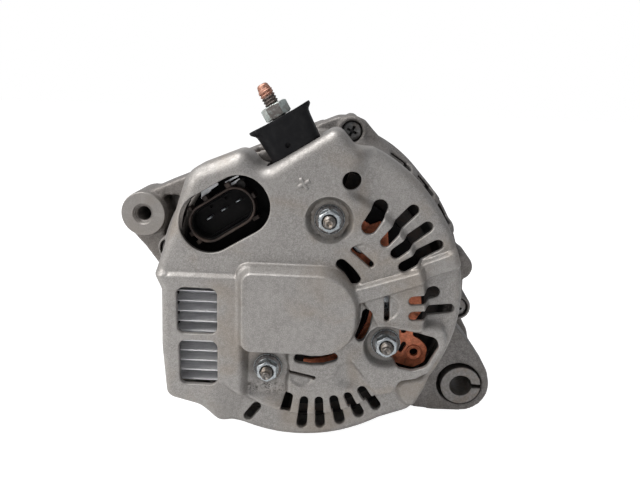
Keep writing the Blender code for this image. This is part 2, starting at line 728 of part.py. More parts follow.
# ---------------------------------------------------------------- housings
# closed sections of (radius, y)
REAR_SECTION = [
    (HOUSING_R, -RIM_Y), (HOUSING_R, -31), (69.4, -38), (65.4, REAR_WALL_Y),
    (20.8, REAR_WALL_Y), (20.8, -59), (9.5, -59), (9.5, -57.3),
    (REAR_BEARING_R + GAP, -57.3), (REAR_BEARING_R + GAP, REAR_WALL_Y + WALL_T),
    (CAVITY_R, REAR_WALL_Y + WALL_T), (CAVITY_R, -SEAT_Y), (SOCKET_R, -SEAT_Y),
    (SOCKET_R, -RIM_Y)]
FRONT_SECTION = [
    (HOUSING_R, RIM_Y), (HOUSING_R, 40), (65, FRONT_WALL_Y), (11, FRONT_WALL_Y), (11, 41),
    (FRONT_BEARING_R + GAP, 41), (FRONT_BEARING_R + GAP, 26), (31, 26),
    (31, FRONT_WALL_Y - WALL_T), (CAVITY_R, FRONT_WALL_Y - WALL_T), (CAVITY_R, SEAT_Y),
    (SOCKET_R, SEAT_Y), (SOCKET_R, RIM_Y)]
HOUSING_SEGMENTS = 30

# middles of the windows round each housing
REAR_WINDOWS = (19, 31.5, 44, 56.5, 96, 109, 122, 135, 148, 186, 199, 212, 225, 238, 277, 290)
FRONT_WINDOWS = (18, 36, 54, 100, 118, 200, 218, 236, 280)
REAR_WALL_SLOTS = (12, 46, 110, 150, 190, 272)
FRONT_WALL_SLOTS = (0, 60, 120, 180, 240, 300)

# boss of the uppermost bolt, faired into the flat on its left and the rim on its right
TOP_BOSS = ((-11.4, 67.6, 0), (9.6, 76.3, 3), (16.0, 76.6, 4), (22.4, 74.5, 4),
            (25.9, 70.5, 3), (29.9, 66.4, 6), (35.0, 62.2, 0), (31.5, 57.8, 0),
            (16.0, 63.6, 0), (2.0, 65.5, 0), (-10.6, 64.9, 0))
SIDE_BOSS = (66.9, 0, 12.4)    # round boss on the right of the rear housing
EAR = ([(65.4, -14.0, 0), (70.6, -20.2, 2), (76.4, -27.2, 3), (86.2, -41.0, 8)]
       + sharp(arc(*PIVOT, 13.6, 15, -80, 7))
       + [(62.0, -63.0, 3), (44.0, -61.0, 4), (38.5, -56.2, 0)]
       + sharp(arc(0, 0, 67.0, -55, -12, 8)))
ARM = ([(-49.5, 49.9, 0), (-76.5, 38.5, 6), (-84.0, 35.0, 3), (-88.0, 33.8, 3), (-94.6, 24.0, 0),
        (-93.2, 16.4, 3), (-85.4, 7.8, 6), (-76.7, -4.2, 3), (-66.0, -9.0, 0)]
       + sharp(arc(0, 0, 65.0, 187, 134, 9)))
ARM_RECESS = ((-71.2, 13.2, 2), (-67.0, 18.9, 2), (-65.6, 22.0, 2), (-65.6, 30.0, 2.5),
              (-67.2, 34.4, 2.5), (-76.0, 34.0, 2.5), (-74.0, 29.8, 2), (-72.9, 24.8, 5),
              (-74.0, 19.8, 2), (-76.4, 13.4, 2))
LUG_PROFILE = [(LUG_R - 0.6, -12.0), (LUG_R, -11.4), (LUG_R, 15.4), (LUG_R - 0.6, 16.0)]


def flat_tool(y0, y1, distance0, distance1):
    """Big block that trims a housing to its flat on the upper left; the flat's
    distance from the shaft goes from distance0 at y0 to distance1 at y1."""
    a = math.radians(FLAT_ANGLE)
    nx, nz = math.cos(a), math.sin(a)
    tx, tz = nz, -nx
    far = FLAT_DIST + 30
    rings = [[(nx * d + tx * t, y, nz * d + tz * t)
              for d, t in ((near, -60), (near, 36.0), (far, 36.0), (far, -60))]
             for y, near in ((y0, distance0), (y1, distance1))]
    return add_object('tool', *loft(rings, False), None)


def radial_box(angle, r0, r1, half, y0, y1):
    a = math.radians(angle)
    rx, rz = math.cos(a), math.sin(a)
    return plate_tool([(rx * r - rz * w, rz * r + rx * w)
                       for r, w in ((r0, -half), (r1, -half), (r1, half), (r0, half))], y0, y1)


def socket_tool(direction, phase=0.0):
    """Clears the stator core's socket of whatever was joined on."""
    return lathe_tool([(SOCKET_R, RIM_Y - 1), (SOCKET_R, SEAT_Y)], HOUSING_SEGMENTS,
                      direction=direction, phase=phase)


def build_rear_housing():
    rear = lathe('rear_housing', REAR_SECTION, HOUSING_SEGMENTS, 'cast')
    combine(rear, [flat_tool(-46, -8, FLAT_DIST, FLAT_DIST)], 'DIFFERENCE')

    joined = [lathe_tool([(r, RIM_Y), (r, 32.5)], 12, (x, 0, z), REARWARD)
              for x, z, r in BOLTS[1:]]
    joined.append(plate_tool(rounded(TOP_BOSS, 2.0), -32.5, -RIM_Y))
    joined.append(lathe_tool([(6.0, 17.0), (6.0, 40.0)], 12, SIDE_BOSS, REARWARD))
    joined.append(plate_tool(rounded(EAR, 3.0), -32.0, -15.6))
    combine(rear, joined, 'UNION')

    cuts = [radial_box(a, 61.4, 80, 5.6, -43.5, -20.0) for a in REAR_WINDOWS]
    # away from the flat the windows run on under the rim, which stays as a thin hoop
    cuts += [radial_box(a, 59.5, 69.0, 5.2, -30.0, -8.0) for a in REAR_WINDOWS
             if not 90 < a < 130]
    cuts += [plate_tool(slot([polar(31, a), polar(54, a)], 7.0), -46, -40)
             for a in REAR_WALL_SLOTS]
    cuts += [plate_tool(circle(x, z, STUD_HOLE_R, 8), -46, -40) for x, z in NUTS]
    for x, z, _ in BOLTS:
        cuts.append(plate_tool(circle(x, z, BOLT_HOLE_R, 8), -29, -8))
        cuts.append(plate_tool(circle(x, z, 4.95, 16, 0.13), -46, -28.02))
    cuts.append(plate_tool(circle(*PIVOT, PIVOT_BUSH_R + GAP, 20), -33, -14))
    combine(rear, cuts, 'DIFFERENCE')
    combine(rear, [socket_tool(REARWARD, phase=math.pi)], 'DIFFERENCE')


def build_front_housing():
    front = lathe('front_housing', FRONT_SECTION, HOUSING_SEGMENTS, 'cast')
    combine(front, [flat_tool(8, 47, FLAT_DIST - 0.8, FLAT_DIST - FLAT_DRAFT)], 'DIFFERENCE')

    joined = [lathe_tool([(4.9, RIM_Y), (4.5, 38.0)], 12, (x, 0, z)) for x, z, _ in BOLTS]
    joined.append(plate_tool(rounded(ARM, 3.0), -8.5, 20.0))
    joined.append(lathe_tool(LUG_PROFILE, 20, (LUG[0], 0, LUG[1])))
    joined.append(plate_tool(rounded(EAR, 3.0), 20.0, 34.0))
    combine(front, joined, 'UNION')

    cuts = [radial_box(a, 58, 80, 5.0, 22.0, 37.0) for a in FRONT_WINDOWS]
    cuts += [plate_tool(slot([polar(40, a), polar(52, a)], 14.0), 40.5, 47)
             for a in FRONT_WALL_SLOTS]
    cuts += [plate_tool(circle(x, z, BOLT_HOLE_R, 8), -9.5, 39) for x, z, _ in BOLTS]
    cuts.append(plate_tool(circle(*PIVOT, PIVOT_BORE_R, 16), 19, 35))
    cuts.append(plate_tool(circle(*LUG, LUG_BORE_R, 16), -13, 17))
    cuts.append(plate_tool(rounded(ARM_RECESS, 2.0), -9, 4))
    cuts += [plate_tool(circle(*polar(RETAINER_SCREW_PITCH_R, a), 2.2, 8), 25, 36)
             for a in RETAINER_ANGLES]
    combine(front, cuts, 'DIFFERENCE')
    combine(front, [socket_tool(FORWARD)], 'DIFFERENCE')


def build_pivot_bush():
    """Split steel bush pressed in the rear pivot ear, slit to the right."""
    outline = arc(*PIVOT, PIVOT_BUSH_R, 5, 355, 24) + arc(*PIVOT, PIVOT_BORE_R, 351, 9, 20)
    plate('pivot_bush', outline, [], -32.6, -9.6, 'steel')


def build_through_bolts():
    """Bolts with their heads at the rear that reach into the front housing."""
    profile = [(2.5, -37.0), (2.5, 28.3), (4.6, 28.3), (4.6, 30.3), (3.4, 31.5)]
    for i, (x, z, _) in enumerate(BOLTS, 1):
        lathe('through_bolt_%d' % i, profile, 10, 'dark_steel', (x, 0, z), REARWARD, solid=True)


# ---------------------------------------------------------------- stator
STATOR_SLOTS = 12
SLOT_PITCH = 360.0 / STATOR_SLOTS
SLOT_FLOOR_R = 59.6
SLOT_HALF = 4.2                # half angle of a slot at the bore
SLOT_FLOOR_HALF = SLOT_HALF * 0.82
WINDING_SECTION = [(51.0, 15.6), (58.0, 15.6), (59.0, 19.0), (57.6, 31.0), (54.5, 33.0),
                   (51.4, 30.0)]        # radius, height above the middle plane


def build_stator_core():
    bore = []
    for k in range(STATOR_SLOTS):
        a = SLOT_PITCH * k
        bore += [polar(CORE_BORE_R, a - SLOT_PITCH / 2 + 2), polar(CORE_BORE_R, a - SLOT_HALF),
                 polar(SLOT_FLOOR_R, a - SLOT_FLOOR_HALF),
                 polar(SLOT_FLOOR_R, a + SLOT_FLOOR_HALF),
                 polar(CORE_BORE_R, a + SLOT_HALF), polar(CORE_BORE_R, a + SLOT_PITCH / 2 - 2)]
    plate('stator_core', circle(0, 0, CORE_R, 36), [bore], -CORE_HALF, CORE_HALF, 'lamination')


def build_stator_winding():
    """A ring at each end of the core, joined by a bar through every slot."""
    winding = lathe('stator_winding', WINDING_SECTION, 18, 'copper')
    joined = [lathe_tool(WINDING_SECTION, 18, direction=REARWARD, solid=False)]
    for k in range(STATOR_SLOTS):
        a = SLOT_PITCH * k
        joined.append(plate_tool([polar(51.8, a - 2.9), polar(57.2, a - 2.6),
                                  polar(57.2, a + 2.6), polar(51.8, a + 2.9)], -18.0, 18.0))
    combine(winding, joined, 'UNION')


# ---------------------------------------------------------------- rectifier
POS_DIODES = ((34.5, 50.0), (34.5, 8.0), (34.5, -62.0))       # radius, angle
NEG_DIODES = ((34.5, 29.0), (34.5, -6.0), (34.5, -86.0))

POS_PLATE = (sharp(arc(0, 0, 27.0, 84, -92, 12)[::-1] + arc(0, 0, 42.6, 84, 54, 6)
                   + arc(0, 0, 46.5, 51, 46, 3))
             + [(33.5, 24.0, 2), (39.5, 10.5, 2), (47.8, 9.0, 2), (49.0, -2.5, 2),
                (46.5, -6.5, 2), (45.9, -13.8, 1.5), (49.5, -15.6, 2), (52.6, -19.0, 3),
                (51.9, -25.6, 3), (47.0, -28.6, 3.5), (40.5, -27.0, 3), (35.0, -24.5, 2),
                (24.0, -36.5, 3)]
             + sharp(arc(0, 0, 44.0, -62, -92, 6)))


def rectifier_holes(own_diodes, other_diodes):
    """Holes for a plate's own diodes, two cover studs and the other plate's diodes."""
    return ([circle(*polar(*place), 4.5, 8) for place in own_diodes]
            + [circle(*nut, 3.4, 8) for nut in (NUTS[0], NUTS[2])]
            + [circle(*polar(*place), 4.8, 8) for place in other_diodes])


def build_rectifier():
    small_holes = [circle(46.9, -21.3, 2.0, 10), slot([(42.4, -17.8), (41.0, -20.6)], 2.2),
                   circle(41.9, -11.6, 1.2, 6)]
    plate('rectifier_positive_plate', rounded(POS_PLATE, 3.0),
          rectifier_holes(POS_DIODES, NEG_DIODES) + small_holes, -57.6, -56.0, 'copper')
    plate('rectifier_negative_plate', sector(27.0, 57.0, -98, 74, 20),
          rectifier_holes(NEG_DIODES, POS_DIODES), -49.8, -47.3, 'aluminium')
    plate('rectifier_terminal_block', sector(42.6, 50.0, -96, 70, 18), [], -55.6, -50.2,
          'plastic')


def build_diodes():
    number = 0
    for places, y0, y1, lead in ((POS_DIODES, -58.4, -51.6, 0.6),
                                 (NEG_DIODES, -53.2, -46.4, 2.0)):
        for place in places:
            number += 1
            x, z = polar(*place)
            lathe('diode_%d' % number, [(1.0, y0 - lead), (1.0, y0), (4.0, y0), (4.0, y1)], 8,
                  'dark_steel', (x, 0, z), solid=True)


# ---------------------------------------------------------------- regulator
PLUG_CENTRE, PLUG_ANGLE = (-36.0, 36.8), 33.0
REGULATOR = ((-56.6, 10, 3), (-48.8, 40, 5), (-42.5, 50.3, 5), (-31, 54.0, 4), (-21, 50, 4),
             (-13, 38, 4), (-13, 28.5, 3), (-24, 20, 3), (-26.5, 12, 3), (-26.5, -22, 3),
             (-29, -40, 3), (-54, -40, 4), (-57, -20, 10))
PIN = ((-0.1, 0.98), (2.5, 0.98), (2.5, 1.62), (-0.1, 1.62))   # along and across the plug
PIN_PITCH = 7.2

FIN_COUNT, FIN_PITCH, FIN_T = 10, 4.52, 0.8
FIN_FIRST_Z = -36.3
SINK_BASE_Y, SINK_FACE_Y, FIN_TIP_Y = -53.3, -55.0, -63.4
SINK_Z = (-39.0, 9.0)


def build_regulator_body():
    """Body with the shell of the plug standing on it."""
    body = plate('regulator_body', rounded(REGULATOR, 2.5), [], -53.0, -47.0, 'plastic')
    outside = turned_rectangle(PLUG_CENTRE, PLUG_ANGLE, 14.7, 8.2, 8.0, step=2.0)
    cavity = turned_rectangle(PLUG_CENTRE, PLUG_ANGLE, 12.4, 6.0, 5.8, step=2.0)
    combine(body, [plate('tool', outside, [cavity], -61.0, -52.0, None)], 'UNION')


def build_connector_pins():
    for i, along in enumerate((-PIN_PITCH, 0.0, PIN_PITCH), 1):
        outline = [turned_point((along + u, v), PLUG_CENTRE, PLUG_ANGLE) for u, v in PIN]
        plate('connector_pin_%d' % i, outline, [], -58.6, -53.3, 'zinc')


def build_heat_sink():
    """Comb of level fins that point to the rear."""
    comb = [(SINK_BASE_Y, SINK_Z[0]), (SINK_FACE_Y, SINK_Z[0])]
    for i in range(FIN_COUNT):
        z = FIN_FIRST_Z + FIN_PITCH * i
        bottom, top = z - FIN_T / 2, z + FIN_T / 2
        comb += [(SINK_FACE_Y, bottom), (FIN_TIP_Y, bottom), (FIN_TIP_Y, top),
                 (SINK_FACE_Y, top)]
    comb += [(SINK_FACE_Y, SINK_Z[1]), (SINK_BASE_Y, SINK_Z[1])]
    plate_across('regulator_heat_sink', comb, [], -56.0, -35.6, 'aluminium')


# ---------------------------------------------------------------- brushes
HOLDER_Y, HOLDER_HALF_Z = (-59.4, -70.8), 6.0
CHANNEL_HALF_Y, CHANNEL_HALF_Z = 2.1, 3.5
BRUSH_HALF_Y, BRUSH_HALF_Z = 1.8, 3.2

SPRING_TURNS, SPRING_STEPS = 4, 6       # turns, and steps in each turn
SPRING_X, SPRING_LENGTH = -20.0, 6.9
SPRING_R, SPRING_WIRE_R = 0.95, 0.22


def build_brush_holder():
    """Two channels that open towards the slip rings, closed by a wall on the left."""
    channels = [rectangle(y - CHANNEL_HALF_Y, y + CHANNEL_HALF_Y, CHANNEL_HALF_Z)
                for y in RING_Y]
    holder = plate_across('brush_holder', rectangle(*HOLDER_Y, HOLDER_HALF_Z), channels,
                          -20.6, -8.8, 'plastic')
    wall = box_tool((-22.0, HOLDER_Y[1], -HOLDER_HALF_Z), (-20.5, HOLDER_Y[0], HOLDER_HALF_Z))
    combine(holder, [wall], 'UNION')


def build_brush(number, y):
    """Carbon brush with a pocket for its spring and a solid nose on the right."""
    outline = rectangle(y - BRUSH_HALF_Y, y + BRUSH_HALF_Y, BRUSH_HALF_Z)
    brush = plate_across('brush_%d' % number, outline, [circle(y, 0, 1.35, 10)],
                         -15.5, -9.6, 'carbon')
    nose = box_tool((-9.7, y - BRUSH_HALF_Y, -BRUSH_HALF_Z),
                    (-7.7, y + BRUSH_HALF_Y, BRUSH_HALF_Z))
    combine(brush, [nose], 'UNION')


def build_brush_spring(number, y):
    """Helical spring from the holder's end wall into the brush's pocket."""
    rings = []
    steps = SPRING_TURNS * SPRING_STEPS
    for q in range(steps + 1):
        a = 2 * math.pi * q / SPRING_STEPS
        centre = Vector((SPRING_X + SPRING_LENGTH * q / steps,
                         y + SPRING_R * math.cos(a), SPRING_R * math.sin(a)))
        along = Vector((SPRING_LENGTH / SPRING_TURNS / (2 * math.pi),
                        -SPRING_R * math.sin(a), SPRING_R * math.cos(a))).normalized()
        outward = Vector((0, math.cos(a), math.sin(a)))
        across = along.cross(outward)
        rings.append([tuple(centre + (outward * math.cos(t) + across * math.sin(t))
                            * SPRING_WIRE_R)
                      for t in (0, math.pi / 2, math.pi, 3 * math.pi / 2)])
    add_object('brush_spring_%d' % number, *loft(rings, False), 'steel')


# ---------------------------------------------------------------- output terminal
def build_terminal_stud():
    lathe('b_plus_stud', [(3.0, -26.0), (3.0, 12.0), (2.3, 12.6), (2.3, 15.4)], 12, 'copper',
          TERM_ORIGIN, TERM_DIR, solid=True)
    lathe('b_plus_nut', [(3.2, 0.8), (5.0, 0.8, HEX), (5.0, 6.4, HEX), (3.2, 6.4)], 12, 'zinc',
          TERM_ORIGIN, TERM_DIR)


def oblong(half_u, half_v):
    """Rounded rectangle across the stud; half_v is along Y."""
    return rounded([(u, v, 5.0) for u, v in corners(half_u, half_v)], 3.4)


def across_stud(points, height):
    """Places (u, v) points at a height along the stud."""
    c, s = math.cos(math.radians(TERM_LEAN)), math.sin(math.radians(TERM_LEAN))
    x, y, z = TERM_ORIGIN
    return [(x + u * c + TERM_DIR[0] * height, y + v, z + u * s + TERM_DIR[2] * height)
            for u, v in points]


def build_terminal_insulator():
    """Oblong block on a round neck, bored for the stud, with a shallow recess on top."""
    foot, shoulder = oblong(11.3, 7.6), oblong(12.7, 7.8)
    flange, recess = oblong(13.6, 8.0), oblong(12.2, 7.0)
    start = math.atan2(foot[0][1], foot[0][0])
    neck = circle(0, 0, 5.6, len(foot), start)
    bore = circle(0, 0, 3.4, len(foot), start)
    sections = ((neck, -25.0), (neck, -17.0), (foot, -17.0), (shoulder, -2.5), (flange, -1.5),
                (flange, 1.4), (recess, 1.4), (recess, 0.4), (bore, 0.4), (bore, -25.0))
    rings = [across_stud(points, height) for points, height in sections]
    add_object('b_plus_insulator', *loft(rings, True), 'plastic')


# ---------------------------------------------------------------- bearings
BALL_COUNT = 6


def race(inner_r, outer_r, y0, y1):
    return [(inner_r, y0), (outer_r, y0), (outer_r, y1), (inner_r, y1)]


def build_bearing(end, y0, y1, inner, outer, ball_r, pitch_r, cage):
    """inner, outer and cage are the inside and outside radii of the rings."""
    lathe(end + '_bearing_outer', race(*outer, y0, y1), 20, 'steel')
    lathe(end + '_bearing_inner', race(*inner, y0, y1), 16, 'steel')
    middle = (y0 + y1) / 2
    ring = lathe(end + '_bearing_cage', race(*cage, middle - 1.2, middle + 1.2), 18, 'zinc')
    ball = [(ball_r * math.sin(t), -ball_r * math.cos(t))
            for t in (math.radians(a) for a in (20, 65, 115, 160))]
    balls = []
    for k in range(BALL_COUNT):
        x, z = polar(pitch_r, 360.0 / BALL_COUNT * k)
        balls.append(lathe_tool(ball, 6, (x, middle, z)))
    combine(ring, balls, 'UNION')


def build_bearings():
    build_bearing('rear', -57.0, -46.4, inner=(SHAFT_REAR_R + GAP, 10.2),
                  outer=(14.7, REAR_BEARING_R), ball_r=1.9, pitch_r=12.45, cage=(11.6, 13.3))
    build_bearing('front', 26.6, 40.6, inner=(SHAFT_BORE_R, 12.6),
                  outer=(19.8, FRONT_BEARING_R), ball_r=3.2, pitch_r=16.2, cage=(15.2, 17.2))


def build_bearing_retainer():
    """Ring plate behind the front bearing, and its screws."""
    places = [polar(RETAINER_SCREW_PITCH_R, a) for a in RETAINER_ANGLES]
    holes = [circle(x, z, 1.8, 8, math.radians(22.5)) for x, z in places]
    plate('bearing_retainer', circle(0, 0, 30.0, 28), holes + [circle(0, 0, 15.0, 20)],
          23.6, 25.7, 'steel')
    screw = [(1.5, 34.0), (1.5, 23.3), (2.8, 23.3), (2.2, 21.8)]
    for i, (x, z) in enumerate(places, 1):
        lathe('retainer_screw_%d' % i, screw, 10, 'dark_steel', (x, 0, z), solid=True)


# ---------------------------------------------------------------- rotor
SHAFT = [(4.8, -70.4), (4.8, -59.8), (SHAFT_REAR_R, -59.8), (SHAFT_REAR_R, -45.0),
         (SHAFT_R, -45.0), (SHAFT_R, 82.5), (7.6, 84.0)]       # radius, y
CLAW_LOBE = ((31.0, -27), (31.0, -21), (47.2, -16.5), (47.5, 0), (47.2, 16.5), (31.0, 21),
             (31.0, 27))                # radius, angle from the lobe's middle
CLAW_STATIONS = ((15.2, 15.2, 36.6), (4.0, 12.4, 38.2), (-12.6, 6.4, 43.6))
# columns: y on the front pole, half angle, inside radius
BLADE_STATIONS = (0, 1.5, 3)   # steps outwards along a fan blade


def build_claw_pole(name, sign, phase):
    """Disc with six lobes; a tapering finger runs from each lobe over the coil.
    sign is 1 for the front pole and -1 for the rear one."""
    angles = [60 * k + phase for k in range(6)]
    outline = [polar(r, a + offset) for a in angles for r, offset in CLAW_LOBE]
    y0, y1 = sorted((9.4 * sign, 16.8 * sign))
    pole = plate(name, outline, [circle(0, 0, SHAFT_BORE_R, 20)], y0, y1, 'lamination')
    fingers = []
    for a in angles:
        rings = []
        for y, half, inner_r in CLAW_STATIONS:
            section = (polar(inner_r, a - half * 0.96), polar(46.5, a - half), polar(46.9, a),
                       polar(46.5, a + half), polar(inner_r, a + half * 0.96))
            rings.append([(x, y * sign, z) for x, z in section])
        fingers.append(add_object('tool', *loft(rings, False), None))
    combine(pole, fingers, 'UNION')


def build_field_coil():
    bobbin = [(9.0, -9.0), (34.6, -9.0), (34.6, -8.1), (10.6, -8.1), (10.6, 8.1), (34.6, 8.1),
              (34.6, 9.0), (9.0, 9.0)]
    lathe('coil_bobbin', bobbin, 20, 'plastic')
    coil = [(10.9, -7.8), (33.2, -7.8), (33.8, 0.0), (33.2, 7.8), (10.9, 7.8)]
    lathe('field_coil', coil, 20, 'copper')


def build_fan(name, sign, blade_count, tip):
    """Disc with curved blades that stand away from the rotor, up to tip along Y."""
    y0, y1 = sorted((17.1 * sign, 18.3 * sign))
    fan = plate(name, circle(0, 0, 43.0, 24), [circle(0, 0, 14.0, 16)], y0, y1, 'steel')
    blade_y0, blade_y1 = sorted((18.0 * sign, tip * sign))
    blades = []
    for k in range(blade_count):
        a = 360.0 / blade_count * k
        path = [(32.6 + 3.4 * q, a + sign * (4.6 * q - 0.25 * q * q)) for q in BLADE_STATIONS]
        one_side = [polar(r, angle) for r, angle in path]
        other_side = [polar(r, angle + 2.2) for r, angle in path]
        blades.append(plate_tool(one_side + other_side[::-1], blade_y0, blade_y1))
    combine(fan, blades, 'UNION')


def build_slip_rings():
    lathe('slip_ring_insulator', race(5.1, 6.1, -70.2, -60.1)[::-1], 14, 'plastic')
    for i, y in enumerate(RING_Y, 1):
        lathe('slip_ring_%d' % i, race(6.4, 7.3, y - 1.9, y + 1.9), 18, 'copper')


# ---------------------------------------------------------------- pulley
PULLEY_R, PULLEY_RIBS, RIB_PITCH = 27.5, 6, 3.56
GROOVE_DEPTH, GROOVE_FIRST_Y = 2.9, 52.6


def build_pulley():
    profile = [(SHAFT_BORE_R, 47.6), (14.0, 47.6), (14.0, 51.0), (PULLEY_R, 51.0)]
    for k in range(PULLEY_RIBS):
        y = GROOVE_FIRST_Y + RIB_PITCH * k
        profile += [(PULLEY_R, y), (PULLEY_R - GROOVE_DEPTH, y + 1.55),
                    (PULLEY_R, y + RIB_PITCH - 0.46)]
    profile += [(PULLEY_R, 77.0), (22.0, 77.0), (19.6, 68.0), (SHAFT_BORE_R, 68.0)]
    lathe('pulley', profile, 16, 'dark_steel')


def build_pulley_nut():
    profile = [(SHAFT_BORE_R, 68.3), (15.0, 68.3), (15.0, 69.8), (11.0, 69.8, HEX),
               (11.0, 79.0, HEX), (SHAFT_BORE_R, 79.0)]
    lathe('pulley_nut', profile, 12, 'zinc')


# ---------------------------------------------------------------- build
def build_alternator():
    build_rear_cover()
    build_cover_fasteners()
    build_rear_housing()
    build_front_housing()
    build_pivot_bush()
    build_through_bolts()
    build_stator_core()
    build_stator_winding()
    build_rectifier()
    build_diodes()
    build_regulator_body()
    build_connector_pins()
    build_heat_sink()
    build_brush_holder()
    for number, y in enumerate(RING_Y, 1):
        build_brush(number, y)
        build_brush_spring(number, y)
    build_terminal_stud()
    build_terminal_insulator()
    build_bearings()
    build_bearing_retainer()
    lathe('rotor_shaft', SHAFT, 16, 'steel', solid=True)
    build_claw_pole('front_claw_pole', 1, phase=0.0)
    build_claw_pole('rear_claw_pole', -1, phase=30.0)
    build_field_coil()
    build_fan('front_fan', 1, blade_count=9, tip=25.4)
    build_fan('rear_fan', -1, blade_count=8, tip=26.2)
    build_slip_rings()
    build_pulley()
    build_pulley_nut()


for ob in list(bpy.data.objects):
    bpy.data.objects.remove(ob, do_unlink=True)
build_alternator()
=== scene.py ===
# Car alternator, visual model: detailed pieces and procedural materials over the CAD frame.
# The shaft lies along Y: the pulley end (front) is at +Y, the rear cover faces -Y, +Z is up.
# Lengths are millimetres and MM turns them into metres; shaders, lights and camera use metres.
# Flat outlines are (x, z) points, with an optional third value, the corner radius.
import json
import math
from contextlib import contextmanager

import bmesh
import bpy
import numpy as np
from mathutils import Matrix, Vector
from mathutils.geometry import delaunay_2d_cdt

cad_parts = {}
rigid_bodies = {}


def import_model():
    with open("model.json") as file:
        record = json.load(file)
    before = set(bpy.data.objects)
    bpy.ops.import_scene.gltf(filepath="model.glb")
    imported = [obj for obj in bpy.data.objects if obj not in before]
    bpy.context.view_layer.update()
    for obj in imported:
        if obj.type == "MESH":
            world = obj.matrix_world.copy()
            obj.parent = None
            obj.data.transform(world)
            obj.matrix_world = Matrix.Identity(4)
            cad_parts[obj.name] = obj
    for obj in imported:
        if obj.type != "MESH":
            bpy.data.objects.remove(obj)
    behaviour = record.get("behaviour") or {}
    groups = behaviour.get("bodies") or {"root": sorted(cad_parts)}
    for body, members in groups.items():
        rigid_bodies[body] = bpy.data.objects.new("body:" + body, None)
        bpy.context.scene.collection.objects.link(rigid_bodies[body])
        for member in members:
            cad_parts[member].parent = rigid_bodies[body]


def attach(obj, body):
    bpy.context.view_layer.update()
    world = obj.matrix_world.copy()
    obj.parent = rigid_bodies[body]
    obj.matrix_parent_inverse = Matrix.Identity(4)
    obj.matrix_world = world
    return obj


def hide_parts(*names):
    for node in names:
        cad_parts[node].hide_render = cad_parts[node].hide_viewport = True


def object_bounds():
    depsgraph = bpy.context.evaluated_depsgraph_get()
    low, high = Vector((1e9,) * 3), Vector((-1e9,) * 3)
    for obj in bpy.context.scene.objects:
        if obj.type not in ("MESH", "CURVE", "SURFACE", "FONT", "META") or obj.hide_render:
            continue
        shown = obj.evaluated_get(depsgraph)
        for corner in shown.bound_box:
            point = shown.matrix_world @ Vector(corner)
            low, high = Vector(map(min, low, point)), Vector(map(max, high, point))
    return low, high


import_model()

cad_lo, cad_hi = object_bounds()
MM = 0.001
COLL = bpy.context.scene.collection
TO_FRONT, TO_REAR = (0, 1, 0), (0, -1, 0)

# ================================================================ shared dimensions
CORE_R = 64.0
HOUSING_R = 70.8
RIM_INNER_R = 64.4
BOLTS = ((16.2, 70.5), (-65.8, 13.6), (-15.0, -68.6), (69.2, -9.3))
PIVOT = (74.2, -49.2)
LUG = (-84.7, 24.8)
COVER_FACE_Y = -66.0
NUTS = ((8.3, 37.2), (-16.0, -29.4), (34.2, -15.6))
POCKET_H = -4.0
# opening of the cover round the plug: centre, half sizes and tilt in degrees
PLUG_WINDOW, PLUG_WINDOW_HALF, PLUG_WINDOW_TILT = (-34.2, 38.1), (19.5, 12.4), 31
# output terminal: where its stud leaves the insulator, and its lean from +Z towards -X
TERMINAL = (-13.3, -54.0, 76.15)
LEAN = math.radians(30.5)
LEAN_COS, LEAN_SIN = math.cos(LEAN), math.sin(LEAN)
TERMINAL_DIR = (-LEAN_SIN, 0.0, LEAN_COS)


